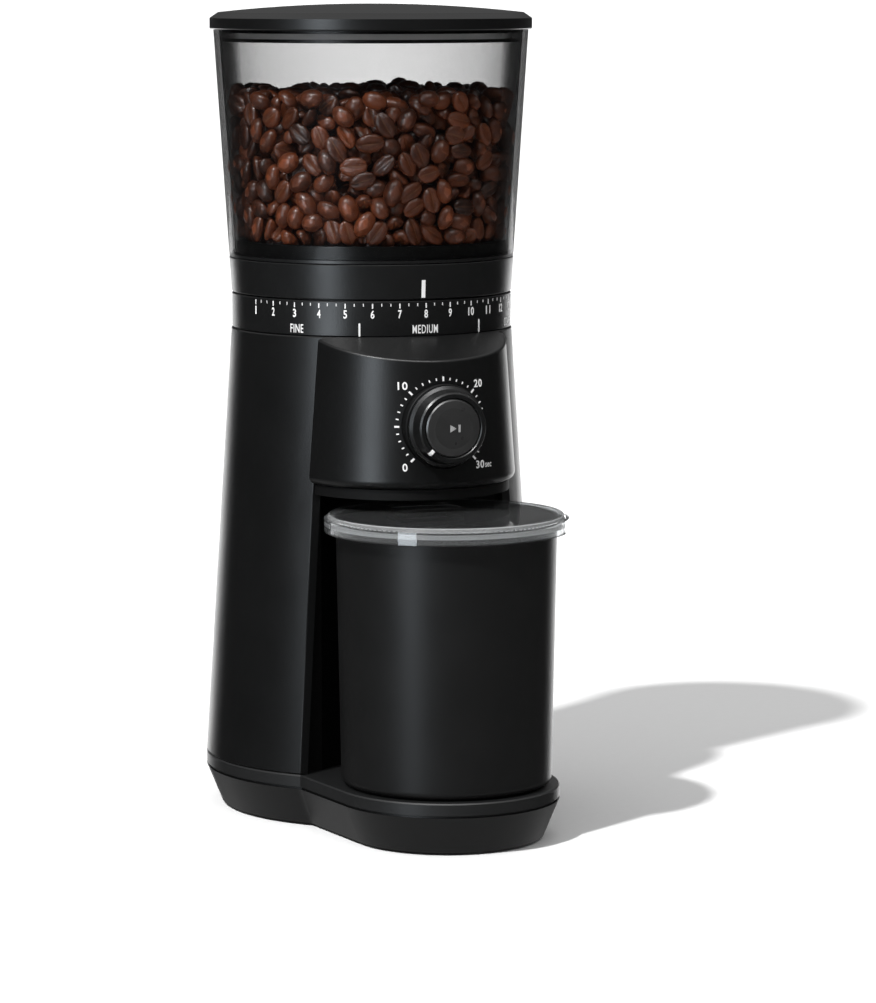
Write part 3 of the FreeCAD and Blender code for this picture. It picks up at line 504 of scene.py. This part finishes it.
def add_piece(name: str, shape: bmesh.types.BMesh, finish: Finish, body: str,
              smooth: bool = True) -> bpy.types.Object:
    """Turn a finished shape into a piece that rides on a body.

    Args:
        name: the piece's name.
        shape: its mesh, in place; it is freed.
        finish: its finish.
        body: the CAD body it moves with.
        smooth: whether its faces are shaded smooth.

    Returns:
        The piece.
    """
    mesh = bpy.data.meshes.new(name)
    for face in shape.faces:
        face.smooth = smooth
    shape.to_mesh(mesh)
    shape.free()
    mesh.materials.append(finish.material())
    piece = bpy.data.objects.new(name, mesh)
    bpy.context.scene.collection.objects.link(piece)
    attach(piece, body)
    log.info("piece %s: %d faces on %s", name, len(mesh.polygons), body)
    return piece


def gather(target: bmesh.types.BMesh, source: bmesh.types.BMesh) -> None:
    """Add one shape to another, and free it.

    Args:
        target: the shape that grows.
        source: the shape that is added.
    """
    mesh = bpy.data.meshes.new("passing")
    source.to_mesh(mesh)
    source.free()
    target.from_mesh(mesh)
    bpy.data.meshes.remove(mesh)


@dataclass
class Print:
    """Flat printed marks, drawn on a sheet in millimetres and then laid on a surface."""

    film: float = 0.06
    sheet: bmesh.types.BMesh = field(default_factory=bmesh.new)

    def bar(self, across: float, up: float, width: float, height: float, turn: float = 0.0,
            round_ends: bool = False) -> None:
        """Draw a straight mark.

        Args:
            across: its middle, to the right.
            up: its middle, upwards.
            width: its width.
            height: its length along its own axis.
            turn: how far it is turned clockwise, in degrees.
            round_ends: whether its corners are rounded.
        """
        mark = bmesh.new()
        bmesh.ops.create_cube(mark, size=1.0)
        bmesh.ops.scale(mark, vec=(width, height, self.film), verts=mark.verts)
        bmesh.ops.translate(mark, vec=(0, 0, self.film / 2), verts=mark.verts)
        if round_ends:
            upright = [e for e in mark.edges if abs(e.verts[0].co.z - e.verts[1].co.z) > 1e-6]
            bmesh.ops.bevel(mark, geom=upright, offset=width * 0.48, affect="EDGES", segments=3,
                            profile=0.5, material=-1, offset_type="OFFSET")
        self._turn_and_add(mark, across, up, turn)

    def triangle(self, across: float, up: float, size: float) -> None:
        """Draw a triangle that points to the right.

        Args:
            across: its middle, to the right.
            up: its middle, upwards.
            size: the radius of the circle round it.
        """
        mark = bmesh.new()
        bmesh.ops.create_cone(mark, cap_ends=True, cap_tris=False, segments=3, radius1=size,
                              radius2=size, depth=self.film)
        bmesh.ops.translate(mark, vec=(0, 0, self.film / 2), verts=mark.verts)
        self._turn_and_add(mark, across, up, 90.0)

    def text(self, words: str, across: float, up: float, height: float, width: float,
             weight: float) -> None:
        """Draw a word or a number.

        Args:
            words: what it says.
            across: its middle, to the right.
            up: its middle, upwards.
            height: the height of its capitals or numerals.
            width: its whole width.
            weight: how far its strokes are thickened, as a share of the letter size.
        """
        curve = bpy.data.curves.new("lettering", "FONT")
        curve.body = words
        curve.resolution_u = 3
        curve.extrude = 0.5
        curve.space_character = 1.12
        curve.offset = weight
        holder = bpy.data.objects.new("lettering", curve)
        bpy.context.scene.collection.objects.link(holder)
        graph = bpy.context.evaluated_depsgraph_get()
        mesh = bpy.data.meshes.new_from_object(holder.evaluated_get(graph))
        mark = bmesh.new()
        mark.from_mesh(mesh)
        bpy.data.objects.remove(holder)
        bpy.data.curves.remove(curve)
        bpy.data.meshes.remove(mesh)
        bmesh.ops.remove_doubles(mark, verts=mark.verts, dist=1e-5)
        spots = np.array([v.co for v in mark.verts])
        low, high = spots.min(0), spots.max(0)
        centre = (low + high) / 2
        bmesh.ops.translate(mark, vec=(-centre[0], -centre[1], -low[2]), verts=mark.verts)
        size = high - low
        bmesh.ops.scale(mark, vec=(width / size[0], height / size[1], self.film / size[2]),
                        verts=mark.verts)
        self._turn_and_add(mark, across, up, 0.0)

    def _turn_and_add(self, mark: bmesh.types.BMesh, across: float, up: float, turn: float) -> None:
        """Turn a mark, move it to its place and add it to the sheet.

        Args:
            mark: the mark, about the origin.
            across: its middle, to the right.
            up: its middle, upwards.
            turn: how far it is turned clockwise, in degrees.
        """
        turned = Matrix.Rotation(math.radians(-turn), 3, "Z")
        bmesh.ops.rotate(mark, matrix=turned, verts=mark.verts)
        bmesh.ops.translate(mark, vec=(across, up, 0), verts=mark.verts)
        gather(self.sheet, mark)

    def laid(self, place: Callable[[float, float, float], Vector]) -> bmesh.types.BMesh:
        """Lay the sheet on a surface.

        Args:
            place: gives the point, in metres, for a distance across, up and out in millimetres.

        Returns:
            The print's mesh, in place.
        """
        for vert in self.sheet.verts:
            vert.co = place(*vert.co)
        bmesh.ops.recalc_face_normals(self.sheet, faces=self.sheet.faces)
        return self.sheet


def on_front_of(node: str, centre: Vector) -> Callable[[float, float, float], Vector]:
    """Say how a print drawn about a point is laid on the front of a CAD node.

    Args:
        node: the CAD node.
        centre: the point behind the middle of the print.

    Returns:
        A function for Print.laid.
    """
    tree = BVHTree.FromObject(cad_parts[node], bpy.context.evaluated_depsgraph_get())

    def place(across: float, up: float, out: float) -> Vector:
        """Return the point on the node's front, and out from it."""
        start = Vector((centre.x + across * MM, -1.0, centre.z + up * MM))
        hit, normal, _, _ = tree.ray_cast(start, Vector((0, 1, 0)))
        return hit + normal * (out * MM)

    return place


# ------------------------------------------------------------------ sub-assemblies
@dataclass
class Base:
    """Weighted base: skirt, tray, bottom plate, feet and the cord's gland."""

    def build(self) -> None:
        """Give each node its finish."""
        dress(Finish.SATIN_BLACK, "base_skirt")
        dress(Finish.DECK_BLACK, "base_tray")
        dress(Finish.DEEP_BLACK, "bottom_plate")
        dress(Finish.BLACK_RUBBER, "rubber_feet", "cord_gland")
        dress(Finish.SCREW_STEEL, "bottom_screws")


@dataclass
class Body:
    """Outer shells of the body, and what stands between them."""

    def build(self) -> None:
        """Give each node its finish."""
        dress(Finish.SATIN_BLACK, "side_panel", "front_housing")
        dress(Finish.DEEP_BLACK, "housing_underside", "recess_liner", "grounds_chute")
        dress(Finish.FRAME_GREY, "inner_frame", "grind_chamber", "interlock_switch")
        dress(Finish.BOARD, "control_board", "power_board")
        dress(Finish.BLACK_RUBBER, "timer_encoder")


@dataclass
class ScaleRing:
    """Fixed ring with the grind numbers, and the collar that turns above it."""

    first: int = 1
    last: int = 15
    pitch: float = 10.97
    mid_number: int = 8
    mid_angle: float = 1.3
    number_height: float = 3.3
    one_width: float = 0.75
    digit_width: float = 1.5
    pair_width: float = 3.1
    number_weight: float = 0.02
    number_level: float = 8.85
    tick_level: float = 12.1
    tick_size: tuple[float, float] = (0.5, 1.9)
    minor_size: tuple[float, float] = (0.32, 1.1)
    word_height: float = 3.4
    word_level: float = 2.8
    word_weight: float = 0.008
    words: tuple[tuple[str, float, float], ...] = (
        ("FINE", -52.5, 6.0), ("MEDIUM", 1.0, 10.8), ("COARSE", 54.7, 10.8))
    dividers: tuple[float, ...] = (-25.9, 27.9)
    divider_size: tuple[float, float] = (0.75, 5.2)

    def angle(self, number: float) -> float:
        """Return where a grind number stands, in degrees from the front."""
        return self.mid_angle + (number - self.mid_number) * self.pitch

    def build(self) -> None:
        """Dress the ring and the collar, and print the scale."""
        dress(Finish.COLLAR_BLACK, "scale_ring", "grind_collar")
        dress(Finish.WHITE_INK, "collar_mark")
        radius = half_width("scale_ring") / MM
        axis = middle("scale_ring")
        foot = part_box("scale_ring")[0].z
        per_degree = math.radians(radius)
        ink = Print()
        for number in range(self.first, self.last + 1):
            across = self.angle(number) * per_degree
            width = self.digit_width if number < 10 else self.pair_width
            if number == 1:
                width = self.one_width
            ink.text(str(number), across, self.number_level, self.number_height, width,
                     weight=self.number_weight)
            ink.bar(across, self.tick_level, *self.tick_size)
            for third in (1, 2):
                between = self.angle(number + third / 3) * per_degree
                if number < self.last:
                    low = self.tick_level + (self.tick_size[1] - self.minor_size[1]) / 2
                    ink.bar(between, low, *self.minor_size)
        for word, angle, width in self.words:
            ink.text(word, angle * per_degree, self.word_level, self.word_height, width,
                     weight=self.word_weight)
        for angle in self.dividers:
            ink.bar(angle * per_degree, self.word_level, *self.divider_size, round_ends=True)

        def place(across: float, up: float, out: float) -> Vector:
            """Return the point on the ring's outside, and out from it."""
            turn = across / radius
            reach = (radius + out) * MM
            return Vector((axis.x + reach * math.sin(turn), axis.y - reach * math.cos(turn),
                           foot + up * MM))

        add_piece("ring_print", ink.laid(place), Finish.WHITE_INK, "chassis", False)


@dataclass
class Beans:
    """Roasted beans heaped in the hopper, settled against its wall.

    Sizes are in millimetres.  Only the beans that can be seen through the wall or from above are
    made: none stands inside the core.
    """

    length: float = 10.6
    width: float = 7.7
    height: float = 5.6
    count: int = 1120
    core: float = 33.0
    outer: float = 56.0
    wall: float = 2.2
    ball: float = 3.05
    gap: float = 0.35
    top: float = 293.0
    top_share: float = 0.13
    top_depth: float = 14.0
    lumps: tuple[float, float] = (-2.0, 1.5)
    lie_flat: float = 0.75
    funnel_foot: float = 216.5
    funnel_top: float = 230.6
    funnel_rise: float = 14.1
    funnel_radius: float = 26.0
    push_share: float = 0.8
    longest_move: float = 1.5
    sink: float = 0.03
    steps: int = 140
    seed: int = 7
    groups: int = 4

    def outline(self) -> tuple[float, float, float, float]:
        """Return the axis' Y, and the wall's foot level, foot radius and slope."""
        low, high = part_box("hopper")
        foot, rim = low.z / MM, high.z / MM
        foot_radius = half_width("hopper_base") / MM
        rim_radius = half_width("hopper") / MM
        slope = (rim_radius - foot_radius) / (rim - foot)
        return middle("hopper").y / MM, foot, foot_radius, slope

    def settle(self) -> tuple[np.ndarray, np.ndarray]:
        """Pack the beans, each as a pair of balls, between the wall, the floor and the heap's top.

        Returns:
            The two ends of each bean's core line, in millimetres about the burr axis.
        """
        chance = np.random.default_rng(self.seed)
        _, foot, foot_radius, slope = self.outline()
        half = self.length / 2 - self.ball
        turn = chance.uniform(0, 2 * math.pi, self.count)
        radius = np.sqrt(chance.uniform(self.core ** 2, self.outer ** 2, self.count))
        level = chance.uniform(foot, self.top, self.count)
        upper = chance.uniform(0, 1, self.count) < self.top_share
        radius[upper] = np.sqrt(chance.uniform(0, self.core ** 2, upper.sum()))
        level[upper] = chance.uniform(self.top - self.top_depth, self.top, upper.sum())
        centre = np.stack([radius * np.cos(turn), radius * np.sin(turn), level], 1)
        line = chance.normal(size=(self.count, 3))
        out = np.stack([np.cos(turn), np.sin(turn), np.zeros(self.count)], 1)
        line -= out * (line * out).sum(1, keepdims=True) * self.lie_flat
        line /= np.linalg.norm(line, axis=1, keepdims=True)
        balls = np.concatenate([centre - line * half, centre + line * half])
        bumps = chance.uniform(*self.lumps, self.count)
        ceiling = np.concatenate([bumps, bumps]) + self.top
        floor_of_core = np.where(np.concatenate([upper, upper]), self.top - self.top_depth - 1, 0.0)
        firsts = seconds = np.zeros(0, int)
        for step in range(self.steps):
            if step % 6 == 0:
                firsts, seconds = self.neighbours(balls)
            apart = balls[seconds] - balls[firsts]
            far = np.linalg.norm(apart, axis=1) + 1e-9
            push = np.clip(2 * self.ball - far, 0, None) * 0.5
            move = apart / far[:, None] * push[:, None] * self.push_share
            shift = np.zeros_like(balls)
            np.add.at(shift, firsts, -move)
            np.add.at(shift, seconds, move)
            balls += np.clip(shift, -self.longest_move, self.longest_move)
            balls[:, 2] -= self.sink * (1 - step / self.steps)
            for _ in range(2):
                self.hold(balls, foot, foot_radius, slope, ceiling, floor_of_core)
                ends = balls.reshape(2, self.count, 3)
                axis = ends[1] - ends[0]
                size = np.linalg.norm(axis, axis=1, keepdims=True) + 1e-9
                fix = axis / size * (size - 2 * half) / 2
                ends[0] += fix
                ends[1] -= fix
        return balls[:self.count].copy(), balls[self.count:].copy()

    def neighbours(self, balls: np.ndarray) -> tuple[np.ndarray, np.ndarray]:
        """Find the balls of different beans that are close together.

        Args:
            balls: all the balls' centres.

        Returns:
            The numbers of the first and of the second ball of each pair.
        """
        tree = kdtree.KDTree(len(balls))
        for number, spot in enumerate(balls):
            tree.insert(spot, number)
        tree.balance()
        pairs = [(number, other) for number, spot in enumerate(balls)
                 for _, other, _ in tree.find_range(spot, 2 * self.ball + 2.0)
                 if other > number and other - number != self.count]
        found = np.array(pairs, int).reshape(-1, 2)
        return found[:, 0], found[:, 1]

    def hold(self, balls: np.ndarray, foot: float, foot_radius: float, slope: float,
             ceiling: np.ndarray, floor_of_core: np.ndarray) -> None:
        """Keep the balls inside the hopper's wall, over its funnel and under the heap's top.

        Args:
            balls: all the balls' centres, which are moved.
            foot: the level of the wall's foot.
            foot_radius: the wall's outer radius there.
            slope: how fast the wall widens.
            ceiling: the top of the heap over each ball.
            floor_of_core: the lowest level of each ball that stands inside the core.
        """
        keep = self.ball + self.gap
        radius = np.hypot(balls[:, 0], balls[:, 1]) + 1e-9
        most = foot_radius + slope * (balls[:, 2] - foot) - self.wall - keep
        least = np.where(floor_of_core > 0, 0.0, self.core)
        wanted = np.clip(radius, least, most)
        balls[:, :2] *= (wanted / radius)[:, None]
        along = (wanted - self.funnel_radius) / self.funnel_radius
        slide = self.funnel_foot + along * self.funnel_rise
        funnel = np.clip(slide, self.funnel_foot, self.funnel_top) + keep
        lowest = np.maximum(funnel, floor_of_core)
        np.clip(balls[:, 2], lowest, ceiling - self.ball, out=balls[:, 2])

    def bean(self) -> bmesh.types.BMesh:
        """Shape one bean about the origin: long along X, its creased flat side facing -Z.

        Returns:
            The bean, with a "crease" attribute that is 1 along its crease.
        """
        shape = bmesh.new()
        bmesh.ops.create_uvsphere(shape, u_segments=12, v_segments=6, radius=1.0)
        bmesh.ops.rotate(shape, matrix=Matrix.Rotation(math.pi / 2, 3, "Y"), verts=shape.verts)
        crease = shape.verts.layers.float.new("crease")
        tone = shape.verts.layers.float.new("tone")
        spread = {0: 0.0, 30: 13.0, 60: 58.0, 90: 88.0, 120: 114.0, 150: 146.0, 180: 180.0}
        for vert in shape.verts:
            along, across, up = vert.co
            round_it = math.hypot(across, up)
            from_foot = math.degrees(math.atan2(abs(across), -up)) if round_it > 1e-4 else 0.0
            turned = math.radians(spread[int(round(from_foot / 30) * 30)])
            side = math.copysign(1.0, across) if abs(across) > 1e-4 else 0.0
            across = round_it * math.sin(turned) * side
            up = -round_it * math.cos(turned)
            vert[tone] = 0.5
            if up < 0:
                up *= 0.42
            if from_foot < 15 and round_it > 0.3:
                up += 0.3 * round_it
                vert[crease] = 1.0
                across += 0.07 * math.sin(along * 4.0)
            elif round_it < 0.3:
                vert[crease] = 0.5
            vert.co = (along * self.length / 2, across * self.width / 2,
                       up * self.height * 0.66)
        return shape

    def build(self) -> None:
        """Fill the hopper with beans, in a few pieces that ride on it."""
        first, second = self.settle()
        chance = np.random.default_rng(self.seed + 1)
        axis_y = self.outline()[0]
        pattern = self.bean()
        template = bpy.data.meshes.new("bean_pattern")
        pattern.to_mesh(template)
        pattern.free()
        shapes = [bmesh.new() for _ in range(self.groups)]
        for start, end in zip(first, second):
            centre = (start + end) / 2
            radius = math.hypot(centre[0], centre[1]) + 1e-9
            out = Vector((centre[0] / radius, centre[1] / radius, 0.0))
            near_top = centre[2] > self.top - 9
            face = Vector((0, 0, 1)) if near_top and radius < 50 else out
            side = -1.0 if chance.uniform() < 0.55 else 1.0
            face = face * side + Vector(chance.normal(size=3)) * 0.33
            along = Vector(end - start).normalized()
            across = face.cross(along).normalized()
            up = along.cross(across)
            scale = chance.normal(1.0, 0.055, 3)
            turn = Matrix((along * scale[0], across * scale[1], up * scale[2])).transposed()
            where = Vector((centre[0], centre[1] + axis_y, centre[2]))
            matrix = Matrix.Translation(where * MM) @ (turn * MM).to_4x4()
            group = int((math.atan2(centre[1], centre[0]) / (2 * math.pi) % 1.0) * self.groups)
            shape = shapes[group % self.groups]
            before = len(shape.verts)
            shape.from_mesh(template)
            shape.verts.ensure_lookup_table()
            new = shape.verts[before:]
            bmesh.ops.transform(shape, matrix=matrix, verts=new)
            layer = shape.verts.layers.float["tone"]
            tone = float(np.clip(chance.normal(0.5, 0.24), 0, 1))
            for vert in new:
                vert[layer] = tone
        for number, shape in enumerate(shapes):
            add_piece(f"beans_{number + 1}", shape, Finish.BEAN, "hopper")
        bpy.data.meshes.remove(template)


@dataclass
class Hopper:
    """Bean hopper with its base, gate and lid, and the beans in it."""

    beans: Beans = field(default_factory=Beans)

    def build(self) -> None:
        """Dress the hopper and fill it."""
        dress(Finish.SMOKED, "hopper")
        dress(Finish.COLLAR_BLACK, "hopper_base", "hopper_gate")
        dress(Finish.SATIN_BLACK, "hopper_lid")
        dress(Finish.GREY_SILICONE, "hopper_lid_seal")
        dress(Finish.PLAIN_STEEL, "gate_rivet")
        self.beans.build()


@dataclass
class Mill:
    """Burrs, their carrier and spring, and the chute-side impeller."""

    def build(self) -> None:
        """Give each node its finish."""
        dress(Finish.BURR_STEEL, "cone_burr", "ring_burr")
        dress(Finish.PLAIN_STEEL, "burr_shaft", "carrier_spring", "feed_auger")
        dress(Finish.SCREW_STEEL, "ring_burr_screws", "burr_nut")
        dress(Finish.FRAME_GREY, "burr_carrier", "grounds_impeller")


@dataclass
class Drive:
    """Motor, gear train and their mountings."""

    def build(self) -> None:
        """Give each node its finish."""
        dress(Finish.GEAR_NYLON, "drive_gear", "compound_gear")
        dress(Finish.FRAME_GREY, "gearbox_housing", "gearbox_cover", "motor_end_caps")
        dress(Finish.SCREW_STEEL, "gearbox_screws")
        dress(Finish.PLAIN_STEEL, "compound_axle", "motor_shaft", "motor_pinion")
        dress(Finish.MOTOR_IRON, "motor_can")
        dress(Finish.MAGNET, "motor_magnets")
        dress(Finish.BUSH_BRASS, "motor_armature", "shaft_bearings")
        dress(Finish.BLACK_RUBBER, "motor_dampers")


@dataclass
class TimerDial:
    """Timer dial, its start button, and the seconds printed round it."""

    seconds: int = 30
    sweep: float = 270.0
    tick_circle: float = 18.35
    minor: tuple[float, float] = (0.5, 1.0)
    major: tuple[float, float] = (0.75, 1.8)
    label_circle: float = 22.4
    labels: tuple[tuple[str, int, float], ...] = (("0", 0, 1.9), ("10", 10, 3.6),
                                                 ("20", 20, 4.0), ("30", 30, 4.0))
    label_height: float = 3.1
    label_weight: float = 0.02
    unit: str = "sec"
    unit_offset: tuple[float, float] = (4.2, -0.55)
    unit_height: float = 1.7
    unit_width: float = 3.2
    unit_weight: float = 0.01
    sign_arrow: tuple[float, float, float] = (-0.9, 0.0, 1.7)
    sign_bar: tuple[float, float, float, float] = (2.1, 0.0, 0.9, 2.9)

    def angle(self, second: float) -> float:
        """Return where a second stands, in degrees clockwise from the top."""
        return (second / self.seconds - 0.5) * self.sweep

    def build(self) -> None:
        """Dress the dial, and print its seconds on the housing and the sign on its button."""
        dress(Finish.COLLAR_BLACK, "timer_dial")
        dress(Finish.DEEP_BLACK, "dial_bezel")
        dress(Finish.GLOSS_BLACK, "start_button")
        dress(Finish.WHITE_INK, "dial_mark")
        dress(Finish.FRAME_GREY, "dial_shaft", "button_switch")
        centre = middle("dial_bezel")
        ink = Print()
        for second in range(self.seconds + 1):
            turn = self.angle(second)
            size = self.major if second % 5 == 0 else self.minor
            across = self.tick_circle * math.sin(math.radians(turn))
            up = self.tick_circle * math.cos(math.radians(turn))
            ink.bar(across, up, *size, turn=turn)
        for label, second, width in self.labels:
            turn = math.radians(self.angle(second))
            ink.text(label, self.label_circle * math.sin(turn), self.label_circle * math.cos(turn),
                     self.label_height, width, weight=self.label_weight)
        turn = math.radians(self.angle(self.seconds))
        ink.text(self.unit, self.label_circle * math.sin(turn) + self.unit_offset[0],
                 self.label_circle * math.cos(turn) + self.unit_offset[1],
                 self.unit_height, self.unit_width, weight=self.unit_weight)
        add_piece("dial_print", ink.laid(on_front_of("front_housing", centre)), Finish.WHITE_INK,
                  "chassis", False)
        sign = Print()
        sign.triangle(*self.sign_arrow)
        sign.bar(*self.sign_bar)
        add_piece("button_print", sign.laid(on_front_of("start_button", centre)), Finish.GREY_INK,
                  "start_button", False)


@dataclass
class Container:
    """Grounds container and its clear lid."""

    def build(self) -> None:
        """Give each node its finish."""
        dress(Finish.CAN_BLACK, "grounds_container")
        dress(Finish.CLEAR, "container_lid")
        dress(Finish.GREY_SILICONE, "container_lid_seal")


@dataclass
class Studio:
    """Pale floor, soft light and the camera.  Lengths are in metres.

    An upright panel's three numbers are its angle round the burr axis, the level of its middle and
    its power.  The sky's levels run from straight down at 0 to straight up at 1.
    """

    azimuth: float = -21.99
    distance: float = 1.6496
    height: float = 0.3343
    pitch: float = 7.30
    across: float = 0.0270
    focal: float = 4069.9
    picture: tuple[int, int] = (876, 1003)
    sensor: float = 36.0
    floor_size: float = 600.0
    reach: float = 1.6
    left_panel: tuple[float, float, float] = (-57.0, 0.39, 17.0)
    left_size: tuple[float, float] = (0.5, 1.02)
    left_colour: Colour = (0.85, 0.93, 1.0, 1.0)
    back_panel: tuple[float, float, float] = (158.0, -0.15, 10.0)
    back_size: tuple[float, float] = (2.0, 0.5)
    top_spot: tuple[float, float, float] = (-0.34, -0.8, 1.5)
    top_aim: tuple[float, float, float] = (0.0, 0.0, 0.17)
    top_power: float = 34.0
    top_size: tuple[float, float] = (1.8, 0.4)
    sky_levels: tuple[tuple[float, float], ...] = (
        (0.0, 0.6), (0.275, 0.5), (0.375, 0.04), (0.5, 0.04), (0.51, 0.05), (0.63, 0.12),
        (0.8, 0.5), (1.0, 1.15))
    key_from: tuple[float, float, float] = (-0.55, -0.335, 0.765)
    key_power: float = 3.3
    key_angle: float = 2.5

    def floor(self) -> None:
        """Lay the floor."""
        sheet = bmesh.new()
        bmesh.ops.create_grid(sheet, x_segments=1, y_segments=1, size=self.floor_size / 2)
        mesh = bpy.data.meshes.new("floor")
        sheet.to_mesh(mesh)
        sheet.free()
        surface = Surface("floor_paper")
        fibre = surface.noise(4 * MM, 2.0)
        tone = surface.blend(fibre, grey(0.87), grey(0.9))
        mesh.materials.append(surface.finish(surface.principled(
            {"Base Color": tone, "Roughness": 0.9, "Specular IOR Level": 0.1})))
        floor = bpy.data.objects.new("floor", mesh)
        bpy.context.scene.collection.objects.link(floor)
        floor.visible_glossy = False

    def sky(self) -> None:
        """Light the studio from all round, most of it from above."""
        world = bpy.data.worlds.new("studio")
        bpy.context.scene.world = world
        world.use_nodes = True
        tree = world.node_tree
        tree.nodes.clear()
        place = tree.nodes.new("ShaderNodeTexCoord")
        parts = tree.nodes.new("ShaderNodeSeparateXYZ")
        level = tree.nodes.new("ShaderNodeMapRange")
        level.inputs["From Min"].default_value = -1.0
        ramp = tree.nodes.new("ShaderNodeValToRGB")
        fill_ramp(ramp.color_ramp, [(place, grey(glow)) for place, glow in self.sky_levels])
        light = tree.nodes.new("ShaderNodeBackground")
        output = tree.nodes.new("ShaderNodeOutputWorld")
        tree.links.new(place.outputs["Generated"], parts.inputs[0])
        tree.links.new(parts.outputs["Z"], level.inputs["Value"])
        tree.links.new(level.outputs["Result"], ramp.inputs["Fac"])
        tree.links.new(ramp.outputs["Color"], light.inputs["Color"])
        tree.links.new(light.outputs["Background"], output.inputs["Surface"])

    def key(self) -> None:
        """Add the key light."""
        lamp = bpy.data.lights.new("key", "SUN")
        lamp.energy = self.key_power
        lamp.angle = math.radians(self.key_angle)
        holder = bpy.data.objects.new("key", lamp)
        bpy.context.scene.collection.objects.link(holder)
        holder.rotation_mode = "QUATERNION"
        holder.rotation_quaternion = Vector(self.key_from).to_track_quat("Z", "Y")

    def panel(self, name: str, spot: tuple[float, float, float], aim: tuple[float, float, float],
              power: float, size: tuple[float, float], colour: Colour = (1, 1, 1, 1)) -> None:
        """Add a light that only shows as a reflection.

        Args:
            name: its name.
            spot: where its middle stands.
            aim: the point it faces.
            power: its power in watts.
            size: its width and height.
            colour: its colour.
        """
        lamp = bpy.data.lights.new(name, "AREA")
        lamp.shape = "RECTANGLE"
        lamp.size, lamp.size_y = size
        lamp.energy = power
        lamp.color = colour[:3]
        holder = bpy.data.objects.new(name, lamp)
        bpy.context.scene.collection.objects.link(holder)
        holder.location = spot
        holder.rotation_mode = "QUATERNION"
        holder.rotation_quaternion = (Vector(spot) - Vector(aim)).to_track_quat("Z", "Y")
        holder.visible_diffuse = False
        holder.visible_camera = False
        holder.visible_transmission = False

    def upright(self, name: str, angle: float, level: float, power: float,
                size: tuple[float, float], colour: Colour = (1, 1, 1, 1)) -> None:
        """Add an upright panel round the burr axis.

        Args:
            name: its name.
            angle: where it stands, in degrees from the front towards +X.
            level: the height of its middle.
            power: its power in watts.
            size: its width and height.
            colour: its colour.
        """
        turn = math.radians(angle)
        across, along = self.reach * math.sin(turn), -self.reach * math.cos(turn)
        self.panel(name, (across, along, level), (0, 0, level), power, size, colour)

    def camera(self) -> None:
        """Place the camera."""
        data = bpy.data.cameras.new("camera")
        data.sensor_fit = "AUTO"
        data.sensor_width = self.sensor
        data.lens = self.focal * self.sensor / max(self.picture)
        data.clip_start, data.clip_end = 0.01, self.floor_size * 2
        holder = bpy.data.objects.new("camera", data)
        bpy.context.scene.collection.objects.link(holder)
        turn = math.radians(self.azimuth)
        back = Vector((math.sin(turn), -math.cos(turn), 0))
        right = Vector((math.cos(turn), math.sin(turn), 0))
        axis = middle("scale_ring")
        holder.location = Vector((axis.x, axis.y, 0)) + back * self.distance \
            + right * self.across + Vector((0, 0, self.height))
        holder.rotation_euler = (math.radians(90 - self.pitch), 0, turn)
        bpy.context.scene.camera = holder

    def build(self) -> None:
        """Build the studio."""
        self.floor()
        self.sky()
        self.key()
        self.upright("front_left", *self.left_panel, self.left_size, self.left_colour)
        self.upright("behind", *self.back_panel, self.back_size)
        self.panel("above_front", self.top_spot, self.top_aim, self.top_power, self.top_size)
        self.camera()
        bpy.context.scene.view_settings.view_transform = "Standard"


# ------------------------------------------------------------------ the whole
def main() -> None:
    """Build every sub-assembly in order."""
    logging.basicConfig(level=logging.INFO, format="%(message)s")
    for assembly in (Base(), Body(), ScaleRing(), Hopper(), Mill(), Drive(), TimerDial(),
                     Container(), Studio()):
        log.info("building %s", type(assembly).__name__)
        assembly.build()
    bpy.context.view_layer.update()


if __name__ == "__main__":
    main()
